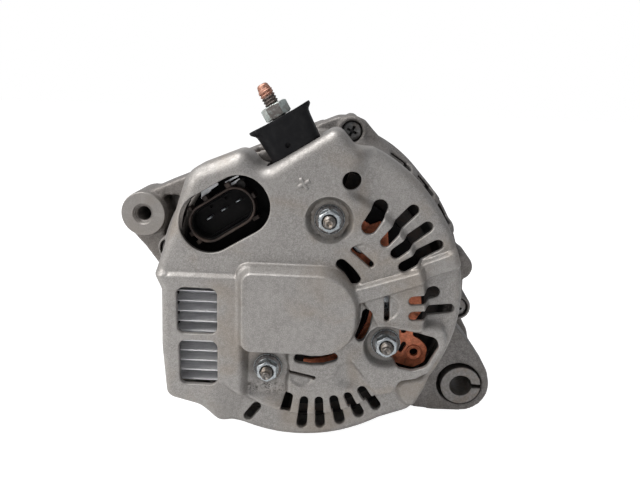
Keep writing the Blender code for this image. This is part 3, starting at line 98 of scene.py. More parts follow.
# ================================================================ shader helpers
class Net:
    """Node tree of a material or world, with short calls that add nodes to it."""

    def __init__(self, owner):
        owner.use_nodes = True
        self.owner = owner
        self.tree = owner.node_tree
        self.surface = self.tree.nodes.get('Principled BSDF')

    def put(self, socket, value):
        """Links a socket, or sets a number or a colour."""
        if isinstance(value, bpy.types.NodeSocket):
            self.tree.links.new(value, socket)
        else:
            socket.default_value = value

    def add(self, kind, output, inputs=None, **props):
        """Adds a node, fills its inputs and returns one of its outputs."""
        node = self.tree.nodes.new('ShaderNode' + kind)
        for key, value in props.items():
            setattr(node, key, value)
        for key, value in (inputs or {}).items():
            self.put(node.inputs[key], value)
        return node.outputs[output]

    def coords(self, scale=(1, 1, 1), rotation=(0, 0, 0)):
        place = self.add('TexCoord', 'Object')
        return self.add('Mapping', 'Vector',
                        {'Vector': place, 'Scale': scale, 'Rotation': rotation})

    def noise(self, vec, scale, detail=4.0, rough=0.55, distort=0.0):
        return self.add('TexNoise', 'Fac', {'Vector': vec, 'Scale': scale, 'Detail': detail,
                                            'Roughness': rough, 'Distortion': distort})

    def cells(self, vec, scale):
        return self.add('TexVoronoi', 'Distance', {'Vector': vec, 'Scale': scale})

    def remap(self, value, span, to=(0.0, 1.0)):
        """Smooth step: to[0] at span[0], to[1] at span[1]."""
        return self.add('MapRange', 'Result',
                        {'Value': value, 'From Min': span[0], 'From Max': span[1],
                         'To Min': to[0], 'To Max': to[1]}, interpolation_type='SMOOTHSTEP')

    def maths(self, operation, *values):
        return self.add('Math', 0, dict(enumerate(values)), operation=operation)

    def times(self, *factors):
        product = factors[0]
        for factor in factors[1:]:
            product = self.maths('MULTIPLY', product, factor)
        return product

    def vector_maths(self, operation, *values, output='Vector'):
        return self.add('VectorMath', output, dict(enumerate(values)), operation=operation)

    def length(self, vec):
        return self.vector_maths('LENGTH', vec, output='Value')

    def axes(self, vec):
        """The X, Y and Z outputs of a vector."""
        return self.add('SeparateXYZ', 0, {0: vec}).node.outputs

    def mix(self, factor, under, over):
        under, over = [(*c, 1.0) if isinstance(c, tuple) else c for c in (under, over)]
        return self.add('Mix', 'Result', {'Factor': factor, 'A': under, 'B': over},
                        data_type='RGBA')

    def bump(self, height, strength, distance):
        return self.add('Bump', 'Normal',
                        {'Height': height, 'Strength': strength, 'Distance': distance})

    def paint_corner_shade(self, base, colour, reach, amount, span):
        """Painted shade: darkens corners, found by ambient occlusion within a reach."""
        occlusion = self.add('AmbientOcclusion', 'AO', {'Distance': reach}, samples=4)
        return self.mix(self.times(self.remap(occlusion, span), amount), base, colour)

    def normal_y(self):
        return self.axes(self.add('NewGeometry', 'True Normal'))['Y']

    def finish(self, base, rough, normal, metallic=0.0):
        """Connects the surface and returns the material."""
        for key, value in (('Base Color', base), ('Metallic', metallic),
                           ('Roughness', rough), ('Normal', normal)):
            self.put(self.surface.inputs[key], value)
        return self.owner


def scaled(colour, factor):
    return tuple(min(1.0, c * factor) for c in colour)


def cast_metal(name, light, dark, stain, rough, metallic, grain, bumps, stain_amount, edge, corner_shade,
               ao=0.004, pits=0.0, mottle=0.22, local_shade_and_marks=None):
    """Blasted or die-cast metal: fine grain, soft blotches, warm stains, painted shade in crevices
    and rubbed edges. A last function of (net, vec, base) may add local painted shade and casting
    marks."""
    net = Net(bpy.data.materials.new(name))
    vec = net.coords()
    fine = net.noise(vec, scale=2600.0 / grain, detail=3.0, rough=0.6)
    mid = net.noise(vec, scale=620.0 / grain, detail=5.0, rough=0.62)
    blotch = net.noise(vec, scale=70.0, rough=0.6, distort=0.4)
    warm = net.noise(vec, scale=33.0, detail=3.0, distort=0.8)
    base = net.mix(net.remap(fine, span=(0.30, 0.70)), dark, light)
    base = net.mix(net.remap(mid, span=(0.40, 0.70), to=(0.0, mottle)), base, scaled(dark, 0.80))
    base = net.mix(net.remap(blotch, span=(0.42, 0.66), to=(0.0, 0.5 * mottle)), base, light)
    base = net.mix(net.times(net.remap(warm, span=(0.47, 0.68)), stain_amount), base, stain)
    if edge > 0:
        convex = net.remap(net.add('NewGeometry', 'Pointiness'), span=(0.515, 0.60))
        base = net.mix(net.times(convex, edge), base, scaled(light, 1.25))
    # painted shade: corners found by ambient occlusion are darkened
    if corner_shade > 0:
        base = net.paint_corner_shade(base, scaled(stain, 0.30), ao, corner_shade, span=(0.85, 0.25))
    if local_shade_and_marks:
        base = local_shade_and_marks(net, vec, base)
    height = net.maths('ADD', net.times(fine, 0.35), net.times(mid, 0.65))
    if pits > 0:
        pit = net.remap(net.cells(vec, scale=420.0), span=(0.22, 0.05))
        height = net.maths('SUBTRACT', height, net.times(pit, pits))
    return net.finish(base, net.remap(mid, span=(0.3, 0.7), to=rough),
                      net.bump(height, strength=bumps, distance=0.00022 * grain), metallic)


def plain_metal(name, light, dark, rough, metallic, tint, tint_amount, bumps, scale,
                stretch=(1, 1, 1), ao=0.003, corner_shade=0.5, finish=None):
    """Machined, plated or drawn metal: stretched fine marks, slight tarnish, painted shade in
    corners. finish(net, base) may add a last layer, here only painted shade."""
    net = Net(bpy.data.materials.new(name))
    stretched = net.coords(stretch)
    vec = net.coords()
    marks = net.noise(stretched, scale=scale, detail=6.0, rough=0.7)
    cloud = net.noise(vec, scale=160.0, rough=0.6, distort=0.5)
    base = net.mix(net.remap(marks, span=(0.36, 0.66)), dark, light)
    base = net.mix(net.remap(cloud, span=(0.45, 0.7), to=(0.0, 0.35)), base, scaled(dark, 0.8))
    patch = net.noise(vec, scale=240.0, detail=5.0, rough=0.65, distort=1.0)
    base = net.mix(net.times(net.remap(patch, span=(0.45, 0.66)), tint_amount), base, tint)
    # painted shade: corners found by ambient occlusion are darkened
    if corner_shade > 0:
        base = net.paint_corner_shade(base, scaled(dark, 0.2), ao, corner_shade, span=(0.8, 0.2))
    if finish:
        base = finish(net, base)
    return net.finish(base, net.remap(marks, span=(0.3, 0.7), to=rough),
                      net.bump(marks, strength=bumps, distance=0.00008), metallic)


def moulded(name, light, dark, rough, bumps, dust=None, dust_amount=0.0, grain=900.0, scuff=0.0,
            shine=0.5):
    """Moulded plastic: leathery fine texture, slight colour clouds, dust and scuffs."""
    net = Net(bpy.data.materials.new(name))
    vec = net.coords()
    leather = net.noise(vec, scale=grain, rough=0.6)
    cloud = net.noise(vec, scale=120.0, rough=0.6, distort=0.6)
    base = net.mix(net.remap(cloud, span=(0.35, 0.68)), dark, light)
    if dust is not None:
        dusty = net.noise(vec, scale=90.0, detail=6.0, rough=0.7, distort=1.2)
        base = net.mix(net.times(net.remap(dusty, span=(0.48, 0.72)), dust_amount), base, dust)
    if scuff > 0:
        streaks = net.noise(net.coords((1, 6, 1), (0.2, 0.5, 0.1)), scale=700.0, detail=5.0,
                            rough=0.75, distort=0.8)
        base = net.mix(net.times(net.remap(streaks, span=(0.62, 0.74)), scuff), base,
                       (0.30, 0.29, 0.28))
    net.surface.inputs['Specular IOR Level'].default_value = shine
    return net.finish(base, net.remap(leather, span=(0.3, 0.7), to=rough),
                      net.bump(leather, strength=bumps, distance=0.00012))


# ================================================================ local painted shade and marks
# colour of the painted shade on the housing's hidden walls
HOUSING_SHADE = (0.018, 0.016, 0.015)


def paint_housing_shade(net, vec, base):
    """Painted shade, nearly black, on the wall under the cover, and inside the windows on the +X
    side.
    """
    place = net.axes(vec)
    radius = net.length(net.vector_maths('MULTIPLY', vec, (1.0, 0.0, 1.0)))
    under_cover = net.times(net.remap(place['Y'], span=(-0.0405, -0.0425)),
                            net.remap(radius, span=(0.0615, 0.0600)), 0.93)
    base = net.mix(under_cover, base, HOUSING_SHADE)
    side = net.times(net.remap(place['X'], span=(0.0, 0.003)),
                     net.remap(place['Z'], span=(-0.010, -0.007)))
    windows = net.times(net.remap(place['Y'], span=(-0.0350, -0.0335)),
                        net.remap(place['Y'], span=(-0.0080, -0.0088)),
                        net.remap(radius, span=(0.0700, 0.0694)), side, 0.92)
    return net.mix(windows, base, HOUSING_SHADE)


# patchy darkening round the cover nuts: centre, outer radius, strength
NUT_DARKENING = ((NUTS[0], 9.2, 0.34), ((NUTS[1][0] - 1.0, NUTS[1][1] - 0.3), 9.4, 0.72),
            (NUTS[2], 8.6, 0.34))
NUT_DARKENING_FADE = 4.2
# patch of small dark pores, metres: x from, x to, z from, z to
PORE_PATCH = tuple(side * MM for side in (-25.5, -7.5, -43.0, -36.2))


def cover_shade_and_pores(net, vec, base):
    """Painted shade on the wall of the plug window, patchy darkening round the nuts and a patch of
    pores.
    """
    place = net.axes(vec)
    centre = (PLUG_WINDOW[0] * MM, 0.0, PLUG_WINDOW[1] * MM)
    turned_vec = net.add('VectorRotate', 0,
                         {'Vector': net.vector_maths('SUBTRACT', vec, centre),
                          'Angle': math.radians(PLUG_WINDOW_TILT)}, rotation_type='Y_AXIS')
    window = net.axes(turned_vec)
    steep = net.remap(net.maths('ABSOLUTE', net.normal_y()), span=(0.45, 0.20))
    wall = net.times(net.remap(net.maths('ABSOLUTE', window['X']), span=(0.0204, 0.0198)),
                     net.remap(net.maths('ABSOLUTE', window['Z']), span=(0.0133, 0.0127)),
                     steep, 0.9)
    # painted shade: the steep wall of the plug window is made nearly black
    base = net.mix(wall, base, (0.020, 0.018, 0.016))
    patchy = net.remap(net.noise(vec, scale=260.0, rough=0.6), span=(0.30, 0.62), to=(0.45, 1.0))
    # patchy darker rings round each nut
    for (x, z), reach, amount in NUT_DARKENING:
        offset = net.add('CombineXYZ', 0, {0: net.maths('ADD', place['X'], -x * MM),
                                           2: net.maths('ADD', place['Z'], -z * MM)})
        halo = net.remap(net.length(offset), span=(reach * MM, (reach - NUT_DARKENING_FADE) * MM))
        base = net.mix(net.times(halo, patchy, amount), base, (0.085, 0.080, 0.074))
    return cover_pores(net, vec, base)


def cover_pores(net, vec, base):
    place = net.axes(vec)
    x0, x1, z0, z1 = PORE_PATCH
    region = net.times(net.remap(place['X'], span=(x0, x0 + 0.002)),
                       net.remap(place['X'], span=(x1, x1 - 0.002)),
                       net.remap(place['Z'], span=(z0, z0 + 0.003)),
                       net.remap(place['Z'], span=(z1, z1 - 0.0008)),
                       net.remap(net.noise(vec, scale=380.0, detail=2.0, rough=0.5),
                                 span=(0.36, 0.60)))
    pore = net.remap(net.cells(vec, scale=1150.0), span=(0.40, 0.22))
    return net.mix(net.times(pore, region), base, (0.035, 0.030, 0.026))


def paint_rear_face_shade(net, base):
    """Painted shade: brown darkening on the faces that look towards -Y."""
    facing = net.remap(net.normal_y(), span=(-0.62, -0.80))
    grain = net.remap(net.noise(net.coords(), scale=700.0, rough=0.6), span=(0.25, 0.55))
    return net.mix(net.times(facing, grain, 0.85), base, (0.135, 0.105, 0.095))


def output_stud_metal():
    """Output stud: copper at the worn tip, dark steel lower down."""
    net = Net(bpy.data.materials.new('output_stud'))
    vec = net.coords()
    along = net.vector_maths('DOT_PRODUCT', vec, TERMINAL_DIR, output='Value')
    foot = (Vector((TERMINAL[0], 0, TERMINAL[2])) * MM).dot(Vector(TERMINAL_DIR))
    height = net.maths('SUBTRACT', along, foot)
    grain = net.noise(vec, scale=900.0, detail=5.0, rough=0.65)
    # the border between the two metals wanders by about a millimetre each way
    wander = net.times(net.maths('SUBTRACT', grain, 0.5), 0.0022)
    height = net.maths('ADD', height, wander)
    steel = net.mix(net.remap(grain, span=(0.35, 0.65)), (0.075, 0.06, 0.052),
                    (0.17, 0.135, 0.12))
    copper = net.mix(net.remap(grain, span=(0.35, 0.62)), (0.33, 0.145, 0.095),
                     (0.52, 0.28, 0.205))
    base = net.mix(net.remap(height, span=(0.0098, 0.0108)), steel, copper)
    return net.finish(base, net.remap(grain, span=(0.3, 0.7), to=(0.32, 0.5)),
                      net.bump(grain, strength=0.3, distance=0.00008), metallic=0.55)


# ================================================================ materials
MAT = {
    'cover': cast_metal(
        'cover_casting', light=(0.412, 0.393, 0.374), dark=(0.245, 0.232, 0.220),
        stain=(0.290, 0.225, 0.160), rough=(0.38, 0.54), metallic=0.55, grain=1.0, bumps=0.6,
        stain_amount=0.34, edge=0.5, corner_shade=0.7, ao=0.0035, mottle=0.40, local_shade_and_marks=cover_shade_and_pores),
    'cast': cast_metal(
        'housing_casting', light=(0.290, 0.272, 0.258), dark=(0.160, 0.150, 0.141),
        stain=(0.135, 0.110, 0.088), rough=(0.48, 0.70), metallic=0.5, grain=1.5, bumps=0.75,
        stain_amount=0.35, edge=0.5, corner_shade=0.75, ao=0.006, pits=0.5, local_shade_and_marks=paint_housing_shade),
    'face': cast_metal(
        'machined_lug_face', light=(0.330, 0.312, 0.295), dark=(0.230, 0.217, 0.205),
        stain=(0.220, 0.180, 0.145), rough=(0.38, 0.55), metallic=0.6, grain=0.8, bumps=0.25,
        stain_amount=0.3, edge=0.3, corner_shade=0.5),
    'poles': cast_metal(
        'forged_pole_iron', light=(0.26, 0.25, 0.245), dark=(0.15, 0.145, 0.14),
        stain=(0.16, 0.10, 0.07), rough=(0.4, 0.6), metallic=0.8, grain=1.6, bumps=0.5,
        stain_amount=0.4, edge=0.0, corner_shade=0.0),
    'black': moulded(
        'black_plastic', light=(0.012, 0.012, 0.013), dark=(0.006, 0.006, 0.007),
        rough=(0.42, 0.60), bumps=0.4, dust=(0.022, 0.021, 0.021), dust_amount=0.35,
        scuff=0.05, shine=0.16),
    'plug': moulded(
        'plug_plastic', light=(0.072, 0.050, 0.040), dark=(0.030, 0.022, 0.019),
        rough=(0.42, 0.60), bumps=0.5, dust=(0.12, 0.09, 0.072), dust_amount=0.4,
        scuff=0.15, shine=0.3),
    # black potting, also used as painted shade inside the plug's cavity
    'potting_and_shade': moulded(
        'inner_plastic', light=(0.009, 0.008, 0.008), dark=(0.004, 0.004, 0.004),
        rough=(0.5, 0.7), bumps=0.4, dust=(0.014, 0.012, 0.011), dust_amount=0.3, shine=0.1),
    'carbon': moulded(
        'brush_carbon', light=(0.085, 0.08, 0.075), dark=(0.04, 0.04, 0.04),
        rough=(0.5, 0.7), bumps=0.5, grain=1500.0),
    'output_stud': output_stud_metal(),
}

# key: material name, light colour, dark colour, roughness range, metallic,
#      tint colour, tint amount, bump strength, mark scale, other arguments
PLAIN_METALS = {
    'zinc': ('zinc_plate', (0.54, 0.58, 0.60), (0.36, 0.39, 0.41), (0.22, 0.38), 0.9,
             (0.34, 0.32, 0.29), 0.35, 0.12, 700.0, dict(ao=0.0025, corner_shade=0.8)),
    'flange': ('worn_flange', (0.20, 0.20, 0.205), (0.085, 0.082, 0.08), (0.30, 0.5), 0.85,
               (0.17, 0.13, 0.10), 0.5, 0.4, 900.0, dict(ao=0.002, corner_shade=0.8)),
    # aged zinc; its faces towards -Y also get brown painted shade through finish
    'terminal_zinc': ('aged_zinc_plate', (0.66, 0.72, 0.69), (0.44, 0.50, 0.47), (0.34, 0.5), 0.6,
                      (0.26, 0.21, 0.19), 0.55, 0.3, 500.0, dict(finish=paint_rear_face_shade)),
    'stud': ('stud_steel', (0.34, 0.32, 0.30), (0.15, 0.14, 0.13), (0.30, 0.5), 0.9,
             (0.30, 0.22, 0.15), 0.5, 0.35, 1100.0, dict(ao=0.002, corner_shade=0.7)),
    'steel': ('turned_steel', (0.52, 0.51, 0.50), (0.36, 0.35, 0.34), (0.28, 0.42), 1.0,
              (0.30, 0.24, 0.19), 0.4, 0.25, 700.0, {}),
    'bush': ('bush_steel', (0.34, 0.32, 0.305), (0.20, 0.19, 0.18), (0.40, 0.58), 0.7,
             (0.22, 0.17, 0.13), 0.5, 0.45, 800.0, dict(ao=0.004)),
    'core': ('varnished_laminations', (0.30, 0.30, 0.31), (0.12, 0.12, 0.125), (0.35, 0.55), 0.8,
             (0.22, 0.14, 0.08), 0.3, 0.9, 70.0, dict(stretch=(1, 30, 1))),
    'copper': ('lacquered_copper', (0.80, 0.275, 0.145), (0.54, 0.160, 0.080), (0.34, 0.52), 0.55,
               (0.20, 0.075, 0.04), 0.55, 0.35, 700.0, dict(ao=0.002)),
    'winding': ('enamelled_winding', (0.55, 0.20, 0.07), (0.26, 0.085, 0.035), (0.22, 0.40), 0.6,
                (0.14, 0.05, 0.03), 0.4, 0.6, 420.0, dict(ao=0.004, corner_shade=0.4)),
    'fins': ('heat_sink_aluminium', (0.88, 0.88, 0.89), (0.74, 0.74, 0.75), (0.30, 0.42), 0.35,
             (0.60, 0.59, 0.58), 0.25, 0.25, 1300.0, dict(stretch=(0.15, 1, 1), corner_shade=0.0)),
    'dark': ('dark_screw_steel', (0.20, 0.20, 0.21), (0.09, 0.09, 0.095), (0.32, 0.5), 0.85,
             (0.30, 0.28, 0.26), 0.4, 0.35, 900.0, dict(ao=0.002)),
    'varnished': ('varnished_plate', (0.060, 0.052, 0.046), (0.026, 0.023, 0.021), (0.45, 0.65),
                  0.3, (0.075, 0.040, 0.026), 0.5, 0.35, 420.0, dict(corner_shade=0.4)),
    'bolt': ('oiled_bolt_steel', (0.30, 0.295, 0.29), (0.13, 0.128, 0.126), (0.34, 0.5), 0.8,
             (0.20, 0.16, 0.13), 0.45, 0.35, 700.0, dict(ao=0.002, corner_shade=0.8)),
    'pulley': ('phosphated_pulley', (0.16, 0.16, 0.165), (0.08, 0.08, 0.085), (0.36, 0.55), 0.8,
               (0.22, 0.18, 0.15), 0.3, 0.3, 500.0, dict(stretch=(1, 6, 1))),
    'fan': ('stamped_fan_steel', (0.34, 0.34, 0.35), (0.20, 0.20, 0.205), (0.35, 0.5), 0.9,
            (0.24, 0.16, 0.10), 0.35, 0.25, 400.0, {}),
}
for key, (*values, others) in PLAIN_METALS.items():
    MAT[key] = plain_metal(*values, **others)


# ================================================================ objects
HANDLED = set()   # names of the new objects and of the CAD nodes they stand for


def add_object(name, data):
    ob = bpy.data.objects.new(name, data)
    COLL.objects.link(ob)
    return ob


@contextmanager
def editing(mesh):
    work = bmesh.new()
    work.from_mesh(mesh)
    yield work
    work.to_mesh(mesh)
    work.free()


def make(name, verts, faces):
    """Object from millimetre points, its faces turned outwards."""
    mesh = bpy.data.meshes.new(name)
    mesh.from_pydata([tuple(c * MM for c in vert) for vert in verts], [], faces)
    mesh.validate()
    with editing(mesh) as work:
        bmesh.ops.recalc_face_normals(work, faces=work.faces[:])
        if work.calc_volume(signed=True) < 0:
            bmesh.ops.reverse_faces(work, faces=work.faces[:])
    return add_object(name, mesh)


def dress(ob, mat, replaces=None, body='housing', sharp=35.0, bevel=0.0, segments=2):
    """Gives an object its material, edges, body and the CAD node it stands for."""
    mesh = ob.data
    mesh.materials.clear()
    mesh.materials.append(MAT[mat])
    for polygon in mesh.polygons:
        polygon.material_index = 0
    mesh.shade_smooth()
    mesh.set_sharp_from_angle(angle=math.radians(sharp))
    if bevel > 0:
        edges = ob.modifiers.new('edges', 'BEVEL')
        edges.width = bevel * MM
        edges.segments = segments
        edges.limit_method = 'ANGLE'
        edges.angle_limit = math.radians(32.0)
        edges.use_clamp_overlap = True
        edges.harden_normals = True
    HANDLED.add(ob.name)
    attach(ob, body)
    if replaces:
        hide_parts(replaces)
        HANDLED.add(replaces)


def joined(objects, name='joined'):
    """One mesh object holding several separate closed bodies."""
    work = bmesh.new()
    for ob in objects:
        work.from_mesh(ob.data)
    mesh = bpy.data.meshes.new(name)
    work.to_mesh(mesh)
    work.free()
    for ob in objects:
        old = ob.data
        bpy.data.objects.remove(ob, do_unlink=True)
        bpy.data.meshes.remove(old)
    return add_object(name, mesh)


def apply_modifiers(ob):
    bpy.context.view_layer.update()
    graph = bpy.context.evaluated_depsgraph_get()
    mesh = bpy.data.meshes.new_from_object(ob.evaluated_get(graph))
    ob.modifiers.clear()
    old = ob.data
    ob.data = mesh
    bpy.data.meshes.remove(old)


def combine(target, tools, operation, flat):
    """Boolean with the tools as one body, then merges faces flatter than flat degrees."""
    tool = joined(tools) if len(tools) > 1 else tools[0]
    for ob in (target, tool):
        with editing(ob.data) as work:
            bmesh.ops.triangulate(work, faces=[face for face in work.faces if len(face.verts) > 3])
    boolean = target.modifiers.new('boolean', 'BOOLEAN')
    boolean.operation = operation
    boolean.solver = 'EXACT'
    boolean.object = tool
    apply_modifiers(target)
    bpy.data.objects.remove(tool, do_unlink=True)
    with editing(target.data) as work:
        bmesh.ops.remove_doubles(work, verts=work.verts[:], dist=0.000002)
        bmesh.ops.dissolve_limit(work, angle_limit=math.radians(flat), verts=work.verts[:],
                                 edges=work.edges[:])


def cut(target, *tools, flat=0.25):
    combine(target, tools, 'DIFFERENCE', flat)


def fuse(target, *tools):
    combine(target, tools, 'UNION', 0.25)


# ================================================================ turned and lofted shapes
def loft(rings, closed):
    """Skins rings of equal length; closed joins the last to the first, else ends are capped."""
    size, count = len(rings[0]), len(rings)
    verts = [point for ring in rings for point in ring]
    faces = []
    for i in range(count if closed else count - 1):
        this, after = i * size, ((i + 1) % count) * size
        for j in range(size):
            k = (j + 1) % size
            faces.append((this + j, this + k, after + k, after + j))
    if not closed:
        faces.append(tuple(range(size))[::-1])
        faces.append(tuple((count - 1) * size + j for j in range(size)))
    return verts, faces


def lathe(name, profile, count, origin=(0, 0, 0), direction=TO_FRONT, solid=False,
          reshape=None, phase=0.0):
    """Turns (radius, height) points about an axis. The profile is closed unless solid, when
    its ends are capped. reshape(radius, height, angle) may change each radius."""
    axis = Vector(direction).normalized()
    guide = Vector((0, 0, 1)) if abs(axis.z) < 0.9 else Vector((1, 0, 0))
    first = (guide - axis * guide.dot(axis)).normalized()
    second = axis.cross(first)
    start = Vector(origin)
    rings = []
    for radius, height in profile:
        ring = []
        for j in range(count):
            angle = phase + 2 * math.pi * j / count
            reach = reshape(radius, height, angle) if reshape else radius
            spoke = first * math.cos(angle) + second * math.sin(angle)
            ring.append(tuple(start + axis * height + spoke * reach))
        rings.append(ring)
    return make(name, *loft(rings, not solid))


def tapered_bar(name, place, stations):
    """Four-sided bar. Stations are (half length, half width, y); place maps to (x, z)."""
    rings = []
    for half_u, half_v, y in stations:
        corners = [place(a * half_u, b * half_v) for a, b in ((-1, -1), (1, -1), (1, 1), (-1, 1))]
        rings.append([(x, y, z) for x, z in corners])
    return make(name, *loft(rings, False))


THREAD_RINGS = 8   # rings per turn of a thread


def threaded_rod(name, radius, pitch, depth, low, high, origin, direction, count, base, tip):
    """Rod with a helical thread between two heights; base and tip are plain
    (radius, height) rings past either end."""
    steps = int((high - low) / pitch * THREAD_RINGS)

    def thread(plain, height, angle):
        fade = max(0.0, min(1.0, (height - low) / (pitch * 0.8), (high - height) / (pitch * 0.8)))
        wave = abs(2 * ((height / pitch - angle / (2 * math.pi)) % 1.0) - 1)
        wave = min(1.0, max(0.0, (wave - 0.12) / 0.72))
        return plain - depth * (1 - wave) * fade

    rings = [(radius, low + (high - low) * i / steps) for i in range(steps + 1)]
    return lathe(name, base + rings + tip, count, origin, direction, solid=True, reshape=thread)


def hex_nut(name, across, low, high, bore, origin, direction, flange=None, count=96, phase=0.0,
            both=False):
    """Hexagon nut whose corners are cut to arcs by a 30 degree chamfer, at both ends if
    asked; flange is (radius, thickness)."""
    flat = across / 2
    slope = math.tan(math.radians(30.0))
    rise = (flat / math.cos(math.pi / 6) - flat * 0.97) * slope
    face_r = flat * 0.955
    hexed = -1   # marks the rings that follow the hexagon

    def hexagon(radius, height, angle):
        if radius >= 0:
            return radius
        side = (angle % (math.pi / 3)) - math.pi / 6
        reach = min(flat * (1.0 / math.cos(side)), face_r + (high - height) / slope)
        if both:
            reach = min(reach, face_r + (height - low) / slope)
        return reach

    profile = [(bore, low + 0.1), (bore + 0.3, low)]
    if flange:
        edge, thick = flange
        profile += [(edge - 0.35, low), (edge - 0.1, low + 0.12), (edge, low + 0.35),
                    (edge, low + thick * 0.55), (edge - 0.2, low + thick * 0.8),
                    (edge - 0.55, low + thick), (flat * 1.22, low + thick + 0.35),
                    (hexed, low + thick + 0.5)]
    elif both:
        profile += [(face_r, low)]
        profile += [(hexed, low + 0.001 + rise * i / 4) for i in (1, 2, 3, 4)]
    else:
        profile += [(hexed, low + 0.001)]
    profile += [(hexed, high - rise)] + [(hexed, high - rise * (1 - i / 5)) for i in range(1, 5)]
    profile += [(face_r, high), (flat * 0.93, high), (bore + 0.55, high),
                (bore + 0.02, high - 0.45), (bore, high - 0.6)]
    return lathe(name, profile, count, origin, direction, reshape=hexagon, phase=phase)


# ================================================================ flat outlines
def circle(cx, cz, radius, count):
    return [(cx + radius * math.cos(2 * math.pi * i / count),
             cz + radius * math.sin(2 * math.pi * i / count)) for i in range(count)]


def arc(cx, cz, radius, start, end, count):
    """Points from one angle to another, in degrees."""
    angles = [math.radians(start + (end - start) * i / (count - 1)) for i in range(count)]
    return [(cx + radius * math.cos(angle), cz + radius * math.sin(angle)) for angle in angles]


def polar(radius, angle):
    return (radius * math.cos(math.radians(angle)), radius * math.sin(math.radians(angle)))


def rectangle(x0, x1, z0, z1):
    return [(x0, z0), (x1, z0), (x1, z1), (x0, z1)]


def rounded(points, step=0.9):
    """Closed outline with its corners rounded; arcs are cut into pieces of about one step."""
    out = []
    for i in range(len(points)):
        x, z, radius = (*points[i], 0)[:3]
        if radius <= 0:
            out.append((x, z))
            continue
        corner = Vector((x, z))
        before = Vector(points[i - 1][:2]) - corner
        after = Vector(points[(i + 1) % len(points)][:2]) - corner
        len_before, len_after = before.length, after.length
        before.normalize()
        after.normalize()
        half = 0.5 * math.acos(max(-1.0, min(1.0, before.dot(after))))
        if half > math.radians(89.0):
            out.append((x, z))
            continue
        trim = min(radius / math.tan(half), 0.49 * len_before, 0.49 * len_after)
        radius = trim * math.tan(half)
        centre = corner + (before + after).normalized() * (radius / math.sin(half))
        start, end = corner + before * trim - centre, corner + after * trim - centre
        sweep = math.pi - 2 * half
        sign = 1.0 if start.x * end.y - start.y * end.x > 0 else -1.0
        count = max(2, int(math.ceil(radius * sweep / step)) + 1)
        for j in range(count):
            turn = sign * sweep * j / (count - 1)
            out.append((centre.x + start.x * math.cos(turn) - start.y * math.sin(turn),
                        centre.y + start.x * math.sin(turn) + start.y * math.cos(turn)))
    return out


def slot_outline(path, width, count=5):
    """Round-ended slot along a path; width is one value, the two end values, or one value
    per path point."""
    points = [Vector(point) for point in path]
    last = len(points) - 1
    if not isinstance(width, tuple):
        widths = [width] * (last + 1)
    elif len(width) == last + 1:
        widths = width
    else:
        widths = [width[0] + (width[-1] - width[0]) * i / last for i in range(last + 1)]

    def cap(point, radius, normal):
        base = math.atan2(normal.y, normal.x)
        return [(point.x + radius * math.cos(base + math.pi * j / count),
                 point.y + radius * math.sin(base + math.pi * j / count))
                for j in range(1, count)]

    left, right = [], []
    for i, point in enumerate(points):
        along = (points[min(last, i + 1)] - points[max(0, i - 1)]).normalized()
        radius = widths[i] / 2
        normal = Vector((-along.y, along.x)) * radius
        if i == 0:
            start_cap = cap(point, radius, normal)
        if i == last:
            end_cap = cap(point, radius, -normal)
        left.append(tuple(point + normal))
        right.append(tuple(point - normal))
    return [left[0]] + start_cap + right + end_cap + left[:0:-1]


def densify(loop, step):
    out = []
    for i in range(len(loop)):
        start, end = np.array(loop[i]), np.array(loop[(i + 1) % len(loop)])
        count = max(1, int(math.ceil(np.linalg.norm(end - start) / step)))
        out += [tuple(start + (end - start) * j / count) for j in range(count)]
    return out


def even_oblong(half_x, half_z, radius, count, corner_step, step):
    """Rounded oblong as evenly spaced points that start below its centre."""
    corners = [(x, z, radius) for x, z in rectangle(-half_x, half_x, -half_z, half_z)]
    loop = np.array(densify(rounded(corners, corner_step), step))
    sides = np.hypot(*(np.roll(loop, -1, 0) - loop).T)
    along = np.concatenate([[0], np.cumsum(sides)])
    loop = np.vstack([loop, loop[:1]])
    wanted = np.arange(count) * along[-1] / count
    even = np.stack([np.interp(wanted, along, loop[:, i]) for i in (0, 1)], 1)
    start = int(np.argmin(np.abs(np.arctan2(even[:, 1], even[:, 0]) + math.pi / 2)))
    return np.roll(even, -start, 0)


def inside(points, loop):
    points = np.asarray(points, float)
    x0 = np.array([point[0] for point in loop])
    z0 = np.array([point[1] for point in loop])
    x1, z1 = np.roll(x0, -1), np.roll(z0, -1)
    result = np.zeros(len(points), bool)
    for i in range(len(x0)):
        if z0[i] == z1[i]:
            continue
        crosses = (z0[i] > points[:, 1]) != (z1[i] > points[:, 1])
        at = (x1[i] - x0[i]) * (points[:, 1] - z0[i]) / (z1[i] - z0[i]) + x0[i]
        result ^= crosses & (points[:, 0] < at)
    return result


def loop_distance(points, loop):
    """Distance of each point from a loop, and the nearest place on the loop."""
    points = np.asarray(points, float)
    best = np.full(len(points), 1e9)
    nearest = np.zeros((len(points), 2))
    for i in range(len(loop)):
        start, end = np.array(loop[i]), np.array(loop[(i + 1) % len(loop)])
        side = end - start
        square = side.dot(side)
        if square < 1e-12:
            continue
        share = np.clip(((points - start) @ side) / square, 0, 1)
        foot = start + share[:, None] * side
        gap = (points[:, 0] - foot[:, 0]) ** 2 + (points[:, 1] - foot[:, 1]) ** 2
        closer = gap < best
        best[closer] = gap[closer]
        nearest[closer] = foot[closer]
    return np.sqrt(best), nearest


def signed_distance(points, loop):
    distance, _ = loop_distance(points, loop)
    return np.where(inside(points, loop), distance, -distance)


def near_box(points, loop, margin=2):
    """Which points lie in the box round a loop, widened by a margin."""
    xs, zs = [point[0] for point in loop], [point[1] for point in loop]
    box = (points[:, 0] > min(xs) - margin) & (points[:, 0] < max(xs) + margin)
    return box & (points[:, 1] > min(zs) - margin) & (points[:, 1] < max(zs) + margin)


